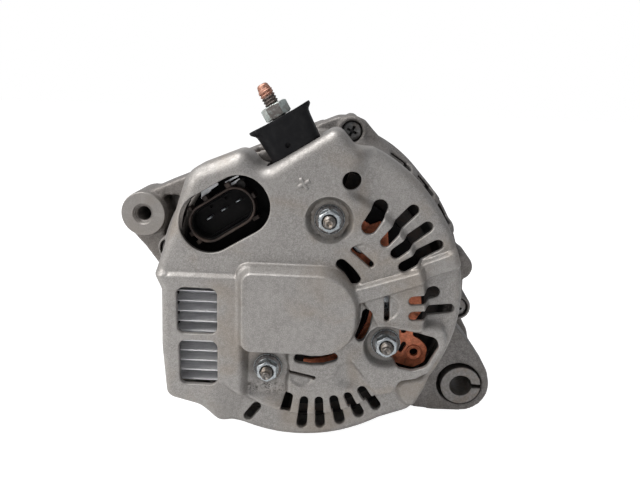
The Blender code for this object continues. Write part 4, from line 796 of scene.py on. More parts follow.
def left_normals(loop):
    along = np.roll(loop, -1, 0) - np.roll(loop, 1, 0)
    along /= np.maximum(1e-9, np.linalg.norm(along, axis=1))[:, None]
    return np.stack([-along[:, 1], along[:, 0]], 1)


def inward_normals(loop):
    x, z = loop[:, 0], loop[:, 1]
    area = 0.5 * np.sum(x * np.roll(z, -1) - np.roll(x, -1) * z)
    return -left_normals(loop) if area < 0 else left_normals(loop)


def triangulate(outer, holes, points=()):
    """Points and anticlockwise triangles that fill an outline but not its holes."""
    flat, edges = [], []
    for loop in [outer, *holes]:
        first = len(flat)
        flat.extend(loop)
        edges.extend((first + i, first + (i + 1) % len(loop)) for i in range(len(loop)))
    flat.extend(points)
    verts, _, tris, *_ = delaunay_2d_cdt([Vector(point) for point in flat], edges, [], 0, 1e-5)
    verts = np.array([(vert.x, vert.y) for vert in verts])
    tris = np.array([tri for tri in tris if len(tri) == 3])
    centres = verts[tris].mean(axis=1)
    keep = inside(centres, outer)
    for hole in holes:
        keep &= ~inside(centres, hole)
    tris = tris[keep]
    used = np.unique(tris)
    renumber = -np.ones(len(verts), int)
    renumber[used] = np.arange(len(used))
    verts, tris = verts[used], renumber[tris]
    a, b, c = [verts[tris[:, i]] for i in range(3)]
    area = (b[:, 0] - a[:, 0]) * (c[:, 1] - a[:, 1]) - (c[:, 0] - a[:, 0]) * (b[:, 1] - a[:, 1])
    tris[area < 0] = tris[area < 0][:, ::-1]
    return verts, tris


def boundary_edges(tris):
    seen = set()
    for a, b, c in tris.tolist():
        seen.update(((a, b), (b, c), (c, a)))
    return sorted(edge for edge in seen if (edge[1], edge[0]) not in seen)


def two_skins(tris, count):
    """Triangles of one skin and, reversed, of a second whose points follow the first's."""
    faces = [tuple(tri) for tri in tris.tolist()]
    return faces + [tuple(i + count for i in tri[::-1]) for tri in faces]


def plate_data(outer, holes, y0, y1):
    flat, tris = triangulate(outer, holes)
    count = len(flat)
    verts = [(x, y, z) for y in (y0, y1) for x, z in flat]
    faces = two_skins(tris, count)
    faces += [(b, a, a + count, b + count) for a, b in boundary_edges(tris)]
    return verts, faces


def plate(name, outer, holes, y0, y1):
    return make(name, *plate_data(outer, holes, y0, y1))


def smooth(distance, width):
    """Smooth step from 0 to 1 across a band of this width centred on zero."""
    share = np.clip(distance / width + 0.5, 0, 1)
    return share * share * (3 - 2 * share)


# ================================================================ rear cover: design
COVER_BASE_Y = -46.0       # open edge of the skirt
COVER_NOTCH_Y = -62.9      # edge of the skirt where the output terminal passes
COVER_T = 2.2
COVER_CIRCLE = (-2.5, 4.0, 67.6)   # centre x, z and radius of the round parts
COVER_STEP = 0.9
ARC_STEPS = 7              # steps in the round ends of the openings
EDGE_R = 0.65              # rounding of the openings
DOME_H, FOOT_H, LOW_STEP = 7.5, 2.6, -5.5

# short slits beside a shallow bowl: two ends, slit width, bowl radius, side of the bowl
SLITS = (((18.6, 25.7), (25.8, 19.7), 2.4, 5.5, 1), ((33.0, 6.6), (33.5, -2.8), 2.1, 5.0, 1),
         ((-6.0, -29.8), (4.1, -31.9), 1.6, 5.0, -1))
# radial vent slots: path, width
VENTS = (([(24.4, 35.6), (28.6, 42.6)], 6.5),
         ([(31.2, 29.5), (35.3, 34.5), (42.1, 41.9)], (4.3, 4.4, 4.8)),
         ([(35.8, 25.0), (41.2, 29.4), (48.3, 35.1)], 4.7),
         ([(39.3, 19.4), (45.7, 23.5), (53.1, 27.7)], 4.6),
         ([(43.9, 5.4), (48.6, 6.0), (53.0, 7.5)], (3.9, 4.2, 5.0)),
         ([(44.4, -1.2), (51.4, -0.7), (60.2, 0.4)], 4.1),
         ([(-21.1, -49.7), (-24.8, -54.7)], 4.0), ([(-6.3, -41.2), (-7.8, -47.4)], (3.5, 4.4)),
         ([(0.3, -42.5), (-0.8, -57.1)], (3.5, 4.5)), ([(6.7, -42.4), (7.4, -56.7)], (3.5, 4.3)),
         ([(13.1, -41.6), (16.0, -54.2)], (3.8, 4.7)),
         ([(19.1, -39.7), (24.3, -50.3)], (3.5, 4.7)),
         ([(25.0, -36.6), (31.6, -46.3)], (3.9, 4.5)))
# curved slots about the shaft: radius, start and end angle, width
CURVED_SLOTS = ((23.8, 33.5, 54.6, 4.4), (25.5, -26.0, -3.2, 4.3))
LOW_SLOT = [(-2.7, -23.1), (2.5, -23.8), (7.5, -23.5), (12.1, -21.9)]
# larger openings: one with an uneven outline, two over the heat sink
OPENINGS = (((39.6, -7.0, 1.2), (44.6, -8.0, 1.2), (54.6, -10.6, 3.2), (56.2, -14.4, 3.0),
             (51.4, -24.0, 4.5), (45.6, -26.0, 5.0), (40.0, -25.0, 2.0), (35.6, -20.9, 0.8),
             (38.5, -17.4, 4.0), (39.9, -13.2, 3.0)),
            ((-53.9, 7.2, 3.2), (-53.9, -13.2, 3.2), (-37.0, -13.2, 3.2), (-37.0, 7.2, 3.2)),
            ((-53.4, -16.1, 3.2), (-53.2, -36.5, 3.2), (-37.0, -36.5, 3.2), (-37.0, -16.1, 3.2)))

# raised areas of the face
DOME = ((-27.0, 16.8, 5.0), (-27.0, -18.6, 5.0), (21.2, -18.6, 15.0), (21.2, 16.8, 16.0))
DOME_FOOT = ((-28.8, 18.2, 5.0), (-28.8, -18.8, 5.0), (22.0, -18.8, 15.3), (22.0, 18.2, 17.0))
SIDE_PAD = ((22.0, 6.0), (48.0, 13.2, 1), (49.5, 2.0, 2), (49.0, -7.6, 3), (45.5, -8.0, 2),
            (39.0, -6.8, 2), (30.0, -6.2, 3), (26.0, 0.0, 3))
NUT_PAD = ((14.0, -14.0), (19.0, -22.0, 2), (25.5, -30.0, 3), (31.5, -38.5, 2.5),
           (38.5, -37.0, 3), (41.0, -31.5, 3), (47.5, -30.0, 3), (53.0, -26.5, 4),
           (59.5, -14.0, 4), (58.0, -6.5, 3), (48.0, -5.5), (28.0, -5.5))
KNOB = ((39.6, -36.5, 2), (41.5, -32.5, 2), (47.5, -31.2, 3), (53.0, -30.0, 3), (53.5, -40.0, 3),
        (48.5, -46.0, 3), (42.5, -43.0, 4))
MARK, MARK_ANGLE = (-2.3, 51.9), math.radians(32)   # small raised cross

# casting pits: x, z, radius, depth
RNG = np.random.RandomState(7)
PITS = [(36.9, -4.6, 0.45, 0.5), (-57.6, 12.3, 0.5, 0.6)]
PITS += [(-25.0 + 17.0 * RNG.rand(), -38.6 - 3.4 * RNG.rand() ** 1.5 + 2.2 * RNG.rand(),
          0.28 + 0.34 * RNG.rand(), 0.30 + 0.35 * RNG.rand()) for _ in range(46)]


def in_terminal_notch(point):
    dx, dz = point[0] + 6.7, point[1] - 63.7
    return (abs(dx * LEAN_COS + dz * LEAN_SIN) < 13.0
            and abs(-dx * LEAN_SIN + dz * LEAN_COS) < 3.5)


def cover_outline():
    """Outline of the cover, with extra points close to both ends of the terminal notch."""
    cx, cz, radius = COVER_CIRCLE

    def run(start, end):
        count = max(2, int(abs(math.radians(end - start)) * radius / COVER_STEP))
        return arc(cx, cz, radius, start, end, count)

    points = [(10.4, 74.6, 4.6), (-19.2, 56.2, 4.5), (-27.0, 64.4, 6.0), (-49.8, 55.0, 12.0),
              (-63.6, 12.0, 4.2), (-60.6, 5.5, 4.2), (-61.2, -20.0, 60.0), (-59.6, -43.6, 5.0),
              (-45.5, -47.9, 8.0), (-37.0, -56.0, 8.0)]
    points += run(-116.0, -58.0) + [(47.0, -48.0, 7.0)] + run(-33.0, 66.0) + [(17.6, 66.2, 4.5)]
    loop = densify(rounded(points, COVER_STEP), COVER_STEP * 1.6)
    refined = []
    for i in range(len(loop)):
        start, end = np.array(loop[i]), np.array(loop[(i + 1) % len(loop)])
        refined.append(tuple(start))
        if in_terminal_notch(start) == in_terminal_notch(end):
            continue
        low, high = 0.0, 1.0
        for _ in range(18):
            middle = (low + high) / 2
            if in_terminal_notch(start + (end - start) * middle) == in_terminal_notch(start):
                low = middle
            else:
                high = middle
        length = np.linalg.norm(end - start)
        for share in (low - 0.06 / length, high + 0.06 / length):
            if 0.02 < share < 0.98:
                refined.append(tuple(start + (end - start) * share))
    return refined


def cover_holes():
    holes = [circle(16.6, 53.6, 3.75, 4 * ARC_STEPS)]
    holes += [circle(x, z, 2.9, 3 * ARC_STEPS) for x, z in NUTS]
    holes += [slot_outline(path, width, ARC_STEPS) for path, width in VENTS]
    holes += [slot_outline([start, end], width, ARC_STEPS) for start, end, width, *_ in SLITS]
    holes += [slot_outline(arc(0, 0, radius, start, end, ARC_STEPS), width, ARC_STEPS)
              for radius, start, end, width in CURVED_SLOTS]
    holes.append(slot_outline(LOW_SLOT, 3.9, ARC_STEPS))
    step = 3.2 / ARC_STEPS
    holes += [rounded(opening, step) for opening in OPENINGS]
    cosine, sine = polar(1.0, PLUG_WINDOW_TILT)
    half_u, half_v = PLUG_WINDOW_HALF
    window = [(PLUG_WINDOW[0] + u * cosine - v * sine, PLUG_WINDOW[1] + u * sine + v * cosine, 12.0)
              for u, v in rectangle(-half_u, half_u, -half_v, half_v)]
    holes.append(rounded(window, step * 2))
    return holes


# ================================================================ rear cover: relief
def waves(x, z):
    """Very slight unevenness of a die casting."""
    return (0.045 * np.sin(0.21 * x + 0.13 * z + 0.7) + 0.035 * np.sin(0.33 * z - 0.19 * x + 2.1)
            + 0.022 * np.sin(0.61 * x + 0.47 * z) + 0.015 * np.sin(1.03 * z - 0.83 * x + 1.1))


def rib_top(x):
    """Upper edge, in z, of the long rib that runs out towards +X."""
    return (10.2 + 0.335 * (x - 20.6) + 1.4 * smooth(x - 47.0, 2.0)
            + 0.08 * np.maximum(0, x - 47.0))


def rib_bottom(x):
    return 3.9 + 0.373 * (x - 22.9)


def cover_height(points):
    """Height of the cover's face above COVER_FACE_Y, towards -Y."""
    x, z = points[:, 0], points[:, 1]

    def within(outline, width):
        return smooth(signed_distance(points, rounded(outline)), width)

    def disc(cx, cz, radius, width):
        return smooth(radius - np.hypot(x - cx, z - cz), width)

    # lower outer border, above on the +X side and below on the -X side left high
    nut_pad = within(NUT_PAD, 1.8)
    low = smooth(np.hypot(x, z) - 50.2, 3.0)
    upper = smooth(x - (17.0 + (z - 46.0) * 0.2), 9.0)
    lower = smooth(x + 33.0, 14.0)
    low = low * np.where(z > 0, upper, lower) * (1 - nut_pad)
    height = LOW_STEP * low + waves(x, z)
    # pads, knob and shallow swellings
    height += 1.2 * nut_pad
    height += 2.6 * within(KNOB, 3.2)
    height -= 1.5 * disc(18.9, -29.6, 5.2, 4.0) * (1 - nut_pad)
    height += 0.9 * disc(19.8, 36.6, 5.5, 6.0)
    rib = smooth(rib_top(x) - z, 1.7) * smooth(z - rib_bottom(x), 1.5) * smooth(x - 16.0, 3.0)
    height += 3.0 * rib
    height += 1.7 * within(SIDE_PAD, 1.6) * (1 - rib)
    # raised panel round the two openings on the -X side
    height += 2.0 * smooth(-27.0 - x, 2.4) * smooth(12.6 - z, 1.9) * smooth(z + 46.0, 12.0)
    # bowls beside the slits
    for (x0, z0), (x1, z1), _, radius, side in SLITS:
        cx, cz = (x0 + x1) / 2, (z0 + z1) / 2
        dx, dz = x1 - x0, z1 - z0
        length = math.hypot(dx, dz)
        across = (x - cx) * (-dz / length * side) + (z - cz) * (dx / length * side)
        bowl = disc(cx, cz, radius, 1.3) * smooth(across + 0.4, 1.0)
        height -= bowl * (1.25 - 0.10 * np.clip(across, 0, radius))
    # raised cross
    cosine, sine = np.cos(MARK_ANGLE), np.sin(MARK_ANGLE)
    mark_u = np.abs((x - MARK[0]) * cosine + (z - MARK[1]) * sine)
    mark_v = np.abs(-(x - MARK[0]) * sine + (z - MARK[1]) * cosine)
    height += 0.6 * np.maximum(smooth(0.6 - mark_u, 0.35) * smooth(2.6 - mark_v, 0.35),
                               smooth(0.6 - mark_v, 0.35) * smooth(2.6 - mark_u, 0.35))
    # sunken seats round the nuts, the one at the lower left drawn out to a square pocket
    pocket = np.maximum(disc(NUTS[0][0], NUTS[0][1] + 0.3, 8.9, 2.0), disc(*NUTS[2], 9.0, 2.0))
    pocket = np.maximum(pocket, disc(*NUTS[1], 9.3, 1.8))
    square = np.minimum(smooth(x + 25.4, 1.8),
                        np.minimum(smooth(-7.6 - x, 2.4), smooth(-20.0 - z, 2.0)))
    pocket = np.maximum(pocket, square * smooth(z + 44.0, 6.0))
    height = height * (1 - pocket) + POCKET_H * pocket
    for cx, cz, radius, depth in PITS:
        height -= depth * np.exp(-((x - cx) ** 2 + (z - cz) ** 2) / (radius * radius * 0.7))
    # central dome on its low foot
    foot = within(DOME_FOOT, 1.3)
    dome = within(DOME, 2.7)
    height = height * (1 - foot) + (FOOT_H + 0.4 * waves(x, z)) * foot
    return height * (1 - dome) + (DOME_H + 0.8 * waves(x, z)) * dome


def fillet_radius(points):
    """Radius between face and skirt, largest towards the upper -X side."""
    x, z = points[:, 0], points[:, 1]
    return (3.6 + 2.2 * smooth(-(x + 12.0), 44.0) * smooth(z - 20.0, 30.0)
            + 0.9 * smooth(z - 30, 30))


# ================================================================ rear cover: mesh
def edge_rings(outline, holes):
    """Points on rings that carry the outer fillet and the rounding of every opening."""
    points = []

    def keep_ring(ring, loop, least):
        distance, _ = loop_distance(ring, loop)
        points.extend(tuple(point) for point, keep in zip(ring, distance > least) if keep)

    loop = np.array(outline)
    inward, radius = inward_normals(loop), fillet_radius(loop)
    for angle in (10, 20, 30, 42, 54, 66, 78, 90):
        inset = radius * (1 - math.cos(math.radians(angle)))
        keep_ring(loop + inward * inset[:, None], outline, inset * 0.985)
    for hole in holes:
        loop = np.array(hole)
        inward = inward_normals(loop)
        for offset in (0.12, 0.32, EDGE_R):
            keep_ring(loop - inward * offset, hole, offset * 0.96)
    return points


def relief_points():
    """Closely set points along the slopes of the relief."""
    points = []
    for outline, offsets, step in ((DOME_FOOT, np.arange(-1.2, 1.3, 0.4), 0.8),
                                   (DOME, np.arange(-2.0, 2.1, 0.5), 0.9),
                                   (NUT_PAD, np.arange(-1.2, 1.3, 0.6), 1.0),
                                   (SIDE_PAD, np.arange(-1.2, 1.3, 0.6), 1.0)):
        loop = np.array(densify(rounded(outline, 0.7), step))
        normals = left_normals(loop)
        for offset in offsets:
            points += [tuple(point) for point in loop - normals * offset]
    for (x, z), start, end in zip(NUTS, (8.8, 8.0, 7.8), (12.2, 10.6, 10.6)):
        for radius in np.arange(start, end, 0.6):
            points += circle(x, z, radius, int(6.3 * radius / 0.9))
    for x in np.arange(17.0, 66.0, 0.62):
        for offset in np.arange(-1.4, 1.5, 0.35):
            points.append((x - 0.32 * offset, rib_top(x) + offset))
            points.append((x - 0.35 * offset, rib_bottom(x) + offset))
    for i in range(22):
        for j in range(22):
            points.append((MARK[0] - 3.2 + 6.4 * i / 21, MARK[1] - 3.2 + 6.4 * j / 21))
    for x, z, radius, _ in PITS:
        points += [(x, z)] + circle(x, z, radius * 0.55, 7) + circle(x, z, radius, 9)
    for (x0, z0), (x1, z1), _, bowl, _ in SLITS:
        for radius in np.arange(bowl - 1.2, bowl + 0.9, 0.4):
            points += circle((x0 + x1) / 2, (z0 + z1) / 2, radius, int(6.3 * radius / 0.8))
    return points


def thinned(points, usable, fine_count, spacing, fine_spacing=0.27):
    """Usable points in order, dropping those too near an earlier one."""
    chosen, grid = [], {}
    for i in np.where(usable)[0]:
        x, z = points[i]
        least = fine_spacing if i < fine_count else spacing
        column, row = int(x // spacing), int(z // spacing)
        if any((other[0] - x) ** 2 + (other[1] - z) ** 2 < least * least
               for dx in (-1, 0, 1) for dz in (-1, 0, 1)
               for other in grid.get((column + dx, row + dz), ())):
            continue
        grid.setdefault((column, row), []).append((x, z))
        chosen.append((x, z))
    return chosen


def face_points(outline, holes, grid):
    """Relief points and a triangular grid, clear of the fillet and the openings."""
    points = relief_points()
    fine_count = len(points)
    for j in range(int(152 / (grid * 0.866))):
        z = -71 + j * grid * 0.866
        for i in range(int(142 / grid) + 1):
            points.append((-70 + i * grid + (0.5 * grid if j % 2 else 0), z))
    points = np.array(points)
    usable = inside(points, outline)
    distance, nearest = loop_distance(points, outline)
    usable &= distance > fillet_radius(nearest) + 0.25 * grid
    for hole in holes:
        close = np.where(near_box(points, hole) & usable)[0]
        if len(close) == 0:
            continue
        distance, _ = loop_distance(points[close], hole)
        usable[close[(distance < EDGE_R + 0.2) | inside(points[close], hole)]] = False
    return thinned(points, usable, fine_count, 0.62 * grid)


def outward_from(flat, nearest, outline):
    """Unit vectors from the outline to each point; on the outline, its inward normal."""
    away = flat - nearest
    length = np.hypot(away[:, 0], away[:, 1])
    units = np.zeros_like(flat)
    clear = length > 1e-4
    units[clear] = away[clear] / length[clear][:, None]
    loop = np.array(outline)
    inward = inward_normals(loop)
    for i in np.where(~clear)[0]:
        units[i] = inward[int(np.argmin(np.hypot(*(loop - flat[i]).T)))]
    return units


def cover_data(grid):
    outline = cover_outline()
    holes = [densify(hole, grid * 0.8) for hole in cover_holes()]
    points = edge_rings(outline, holes) + face_points(outline, holes, grid)
    flat, tris = triangulate(outline, holes, points)
    rim, nearest = loop_distance(flat, outline)
    rim = np.where(rim < 1e-4, 0, rim)
    inward = outward_from(flat, nearest, outline)
    # outer skin falls over the fillet; the inner skin is offset by the wall thickness
    radius = fillet_radius(nearest)
    level = np.clip(1 - rim / radius, 0, 1)
    upright = np.sqrt(1 - level * level)
    outer = cover_height(flat) - radius * (1 - upright)
    inner = outer - COVER_T * upright
    hole_gap = np.full(len(flat), 1e9)
    for hole in holes:
        close = np.where(near_box(flat, hole))[0]
        distance, _ = loop_distance(flat[close], hole)
        hole_gap[close] = np.minimum(hole_gap[close], distance)
    lip = np.clip(1 - hole_gap / EDGE_R, 0, 1)
    outer = outer - EDGE_R * 0.85 * (1 - np.sqrt(1 - lip * lip * 0.999))
    inner_flat = flat + inward * (COVER_T * level)[:, None]
    count = len(flat)
    verts = [(x, COVER_FACE_Y - height, z) for (x, z), height in zip(flat, outer)]
    verts += [(x, COVER_FACE_Y - height, z) for (x, z), height in zip(inner_flat, inner)]
    faces = two_skins(tris, count)
    # walls of the openings, and the skirt below the outline
    skirt = {}
    for a, b in boundary_edges(tris):
        if rim[a] > 0.02 or rim[b] > 0.02:
            faces.append((b, a, a + count, b + count))
            continue
        for i in (a, b):
            if i not in skirt:
                skirt[i] = len(verts)
                y = COVER_NOTCH_Y if in_terminal_notch(flat[i]) else COVER_BASE_Y
                y = max(y, verts[i][1] + 0.4)
                verts.append((flat[i, 0], y, flat[i, 1]))
                verts.append((inner_flat[i, 0], y, inner_flat[i, 1]))
        base_a, base_b = skirt[a], skirt[b]
        faces.append((b, a, base_a, base_b))
        faces.append((base_b, base_a, base_a + 1, base_b + 1))
        faces.append((base_b + 1, base_a + 1, a + count, b + count))
    return verts, faces


cover_shell = make('cover_shell', *cover_data(0.98))
dress(cover_shell, 'cover', 'rear_cover', sharp=50)


# ================================================================ cover nuts and studs
SERRATIONS = 26
NUT_LIP = [(5.75, 0.3), (6.1, 0.36), (6.2, 0.5), (6.1, 0.66), (5.75, 0.7)]
NUT_COLLAR = [(3.2, 1.5), (4.75, 1.5), (4.78, 2.0), (4.55, 2.22), (3.2, 2.22)]
NUT_FLANGE = [(2.75, 0.34), (5.7, 0.34), (6.02, 0.7), (6.02, 1.0), (5.75, 1.4), (5.0, 1.75),
              (4.4, 1.9), (2.75, 1.9)]


def serrated(radius, height, angle):
    tooth = 0.13 * abs(2 * ((angle * SERRATIONS / (2 * math.pi)) % 1.0) - 1)
    return radius - (tooth if radius > 4.6 else 0.0)


for i, ((x, z), phase) in enumerate(zip(NUTS, (0.22, 0.0, 0.08)), 1):
    seat = (x, COVER_FACE_Y - POCKET_H, z)
    parts = [hex_nut('part', 8.3, 1.5, 5.4, 2.62, seat, TO_REAR, phase=phase),
             lathe('part', NUT_LIP, 96, seat, TO_REAR),
             lathe('part', NUT_COLLAR, 96, seat, TO_REAR)]
    dress(joined(parts, 'flange_nut_%d' % i), 'zinc', 'cover_nut_%d' % i, sharp=28)
    ring = lathe('nut_flange_%d' % i, NUT_FLANGE, 8 * SERRATIONS, seat, TO_REAR, reshape=serrated)
    dress(ring, 'flange', sharp=25)
    rod = threaded_rod('stud_%d' % i, radius=2.5, pitch=0.8, depth=0.32, low=16.0, high=27.6,
                       origin=(x, -41.6, z), direction=TO_REAR, count=36,
                       base=[(2.3, 0.0), (2.5, 0.4), (2.5, 15.9)],
                       tip=[(2.2, 28.0), (1.85, 28.3), (1.75, 28.6), (1.7, 29.8), (1.45, 30.0),
                            (0.9, 29.7), (0.5, 29.3)])
    dress(rod, 'stud', 'cover_stud_%d' % i, sharp=40)

# ================================================================ output terminal
rod = threaded_rod('output_stud', radius=3.0, pitch=1.25, depth=0.5, low=0.6, high=12.4,
                   origin=TERMINAL, direction=TERMINAL_DIR, count=48,
                   base=[(2.9, -26.0), (3.0, -25.6), (3.0, 0.4)],
                   tip=[(2.75, 12.6), (2.62, 12.75), (2.7, 13.1), (2.5, 13.35), (2.55, 13.8),
                        (2.35, 14.05), (2.4, 14.5), (2.2, 14.8), (1.9, 15.15), (1.4, 15.38)])
dress(rod, 'output_stud', 'b_plus_stud', sharp=45)
nut = hex_nut('output_nut', 10.0, 0.85, 6.3, 3.2, TERMINAL, TERMINAL_DIR, both=True)
dress(nut, 'terminal_zinc', 'b_plus_nut', sharp=28)

# half width along the cover's edge, half depth along Y, corner radius, height along the stud,
# rise of the two ends
INSULATOR_RINGS = (
    (3.4, 3.4, 3.39, -25.0, 0.0), (5.6, 5.6, 5.5, -25.0, 0.0), (5.6, 5.6, 5.5, -17.2, 0.0),
    (10.5, 7.2, 4.6, -17.0, 0.0), (10.75, 7.5, 5.0, -16.6, 0.0), (10.95, 7.55, 5.0, -12.0, 0.0),
    (11.2, 7.6, 5.0, -8.0, 0.0), (11.5, 7.68, 5.0, -4.0, 0.0), (11.7, 7.72, 5.0, -2.4, 0.0),
    (12.1, 7.78, 5.0, -1.7, 0.1), (12.9, 7.9, 5.0, -1.1, 0.2), (13.5, 7.98, 5.0, -0.6, 0.35),
    (13.6, 8.0, 5.0, 0.1, 0.4), (13.45, 7.9, 4.9, 0.5, 0.42), (13.1, 7.65, 4.8, 0.6, 0.38),
    (12.2, 7.0, 4.4, 0.55, 0.3), (11.95, 6.8, 4.2, 0.4, 0.0), (11.9, 6.7, 4.2, 0.2, 0.0),
    (6.2, 6.2, 6.1, 0.2, 0.0), (5.9, 5.9, 5.8, 0.75, 0.0), (3.9, 3.9, 3.8, 0.75, 0.0),
    (3.4, 3.4, 3.39, 0.6, 0.0))


def terminal_point(across, y, along):
    """Point in the terminal's leaning frame."""
    return (TERMINAL[0] + across * LEAN_COS + TERMINAL_DIR[0] * along, TERMINAL[1] + y,
            TERMINAL[2] + across * LEAN_SIN + TERMINAL_DIR[2] * along)


rings = []
for half_w, half_d, radius, height, sag in INSULATOR_RINGS:
    oblong = even_oblong(half_w, half_d, radius, 72, corner_step=0.5, step=1.2)
    rings.append([terminal_point(u, y, height + sag * (u / half_w) ** 2) for u, y in oblong])
insulator = make('terminal_insulator', *loft(rings, True))
# small round dimple in the side that faces -Y
dimple = lathe('tool', [(1.15, -9.0), (1.15, -6.6), (0.6, -6.2)], 24,
               terminal_point(-1.6, 0, -10.5), solid=True)
cut(insulator, dimple, flat=0.05)
dress(insulator, 'black', 'b_plus_insulator', sharp=38)

# ================================================================ regulator and plug
REGULATOR = ((-56.6, 10, 3), (-48.8, 40, 5), (-42.5, 50.3, 5), (-31, 54.0, 4), (-21, 50, 4),
             (-13, 38, 4), (-13, 28.5, 3), (-24, 20, 3), (-26.5, 12, 3), (-26.5, -22, 3),
             (-29, -40, 3), (-54, -40, 4), (-57, -20, 10))
regulator = plate('regulator_base', rounded(REGULATOR, 0.6), [], -53.0, -47.0)
dress(regulator, 'potting_and_shade', 'regulator_body', bevel=0.35)

PLUG = (-36.0, 36.8)
PLUG_COS, PLUG_SIN = polar(1.0, 33.0)
# half length, half width, corner radius, y
PLUG_SHELL = ((14.5, 8.0, 7.6, -52.8), (14.6, 8.1, 7.8, -59.4), (14.75, 8.25, 7.9, -59.7),
              (14.85, 8.35, 8.0, -60.2), (14.8, 8.3, 8.0, -60.75), (14.55, 8.05, 7.8, -61.0),
              (14.05, 7.55, 7.3, -61.0), (13.88, 7.38, 7.1, -60.85), (13.8, 7.3, 7.1, -60.4),
              (13.7, 7.2, 7.0, -54.5), (13.5, 7.0, 6.8, -54.0), (0.6, 0.3, 0.2, -54.0))
PLUG_SHADE_LINER = ((0.8, 0.4, 0.3, -54.05), (13.4, 6.9, 6.7, -54.05), (13.58, 7.08, 6.9, -59.9),
              (13.45, 6.95, 6.8, -60.05), (13.2, 6.7, 6.5, -59.9), (12.9, 6.4, 6.2, -54.9),
              (12.6, 6.1, 5.9, -54.6), (0.8, 0.4, 0.3, -54.6))
# along the plug from, to; across it from, to; y from, to
PLUG_RIBS = ((7.6, 9.6, 7.6, 10.2, -60.6, -55.0), (-3.4, -1.4, 7.6, 10.4, -60.2, -55.0),
             (-11.2, -9.6, 7.6, 9.8, -60.0, -55.0), (-16.2, -14.2, -1.4, 0.6, -60.3, -55.0),
             (-15.6, -13.6, -5.6, -3.9, -60.3, -55.0), (14.0, 16.0, -1.0, 1.2, -60.2, -55.0),
             (9.5, 12.5, -9.2, -7.6, -59.0, -55.0))
PLUG_INNER_RIBS = ((-10.5, 10.5, 5.6, 6.2, -57.0, -54.4), (-10.5, 10.5, -6.2, -5.6, -57.0, -54.4),
                   (-3.6 - 0.35, -3.6 + 0.35, 4.2, 5.7, -57.2, -54.4),
                   (3.6 - 0.35, 3.6 + 0.35, 4.2, 5.7, -57.2, -54.4))


def plug_at(u, v):
    """(x, z) of a point given along and across the tilted plug."""
    return (PLUG[0] + u * PLUG_COS - v * PLUG_SIN, PLUG[1] + u * PLUG_SIN + v * PLUG_COS)


def plug_tube(name, stations):
    rings = []
    for half_l, half_w, radius, y in stations:
        oblong = even_oblong(half_l, half_w, radius, 84, corner_step=0.4, step=1.0)
        rings.append([(x, y, z) for x, z in (plug_at(u, v) for u, v in oblong)])
    return make(name, *loft(rings, False))


def plug_blocks(name, table):
    return joined([plate('part', [plug_at(u, v) for u, v in rectangle(*sides)], [], y0, y1)
                   for *sides, y0, y1 in table], name)


dress(plug_tube('plug_shell', PLUG_SHELL), 'plug', sharp=40)
# painted shade: the liner and the inner ribs are nearly black inside the plug's cavity
dress(plug_tube('plug_liner', PLUG_SHADE_LINER), 'potting_and_shade', sharp=40)
dress(plug_blocks('plug_ribs', PLUG_RIBS), 'plug', bevel=0.22)
dress(plug_blocks('plug_inner_ribs', PLUG_INNER_RIBS), 'potting_and_shade',
      bevel=0.12)
for i, middle in enumerate((-7.2, 0.0, 7.2), 1):
    pin = tapered_bar('plug_pin_%d' % i, lambda u, v: plug_at(middle + 1.2 + u, 1.3 + v),
                      ((1.3, 0.32, -53.3), (1.3, 0.32, -57.9), (1.1, 0.26, -58.3),
                       (0.8, 0.14, -58.6)))
    dress(pin, 'zinc', 'connector_pin_%d' % i, bevel=0.06, sharp=25)

# bright links above the plug: outline, y from, y to
LINKS = (([(-45.4, 42.4), (-41.2, 46.0), (-42.6, 47.6), (-45.4, 45.4)], -56.6, -55.9),
         ([(-42.0, 45.9), (-37.9, 48.8), (-39.4, 51.2), (-43.6, 48.1)], -57.6, -56.9),
         ([(-34.9, 49.4), (-29.5, 52.6), (-29.9, 53.2), (-35.3, 50.1)], -57.4, -56.8),
         ([(-33.0, 48.3), (-28.8, 50.9), (-29.3, 51.8), (-33.5, 49.2)], -57.6, -57.0))
frame = joined([plate('part', outline, [], y0, y1) for outline, y0, y1 in LINKS], 'lead_frame')
dress(frame, 'fins', bevel=0.1)
cap = lathe('lead_cap', rounded([(0.02, -53.0), (2.0, -53.0), (2.0, -58.2, 0.6), (0.02, -58.2)],
                                0.15), 32, (-28.6, 0, 49.4))
dress(cap, 'cast')

# ================================================================ finned heat sink
FIN_HALF = 0.72 / 2
FIN_ZS = [-36.3 + 4.52 * i for i in range(10)]
comb = [(-53.3, -39.0), (-55.0, -39.0)]   # (y, z) outline, drawn out along X
for z in FIN_ZS:
    low, high = z - FIN_HALF, z + FIN_HALF
    comb += [(-55.0, low - 0.25), (-55.35, low), (-63.2, low + 0.06), (-63.4, low + 0.2),
             (-63.4, high - 0.2), (-63.2, high - 0.06), (-55.35, high), (-55.0, high + 0.25)]
comb += [(-55.0, 9.0), (-53.3, 9.0)]
verts, faces = plate_data(comb, [], -56.0, -35.6)
heat_sink = make('heat_sink_fins', [(x, y, z) for y, x, z in verts], faces)
nick_z = FIN_ZS[7]
cut(heat_sink, plate('tool', rectangle(-42.8, -41.8, nick_z - 1, nick_z + 1), [], -64.0, -62.7),
    flat=0.02)
dress(heat_sink, 'fins', 'regulator_heat_sink', sharp=30)

# ================================================================ housings
FLAT_DIST, FLAT_ANGLE, FLAT_DRAFT = 66.6, 113.1, 2.0
# window angles in degrees
REAR_WINDOWS = (19, 31.5, 44, 56.5, 96, 109, 122, 135, 148, 186, 199, 212, 225, 238, 277, 290)
FRONT_WINDOWS = (18, 36, 54, 100, 118, 200, 218, 236, 280)


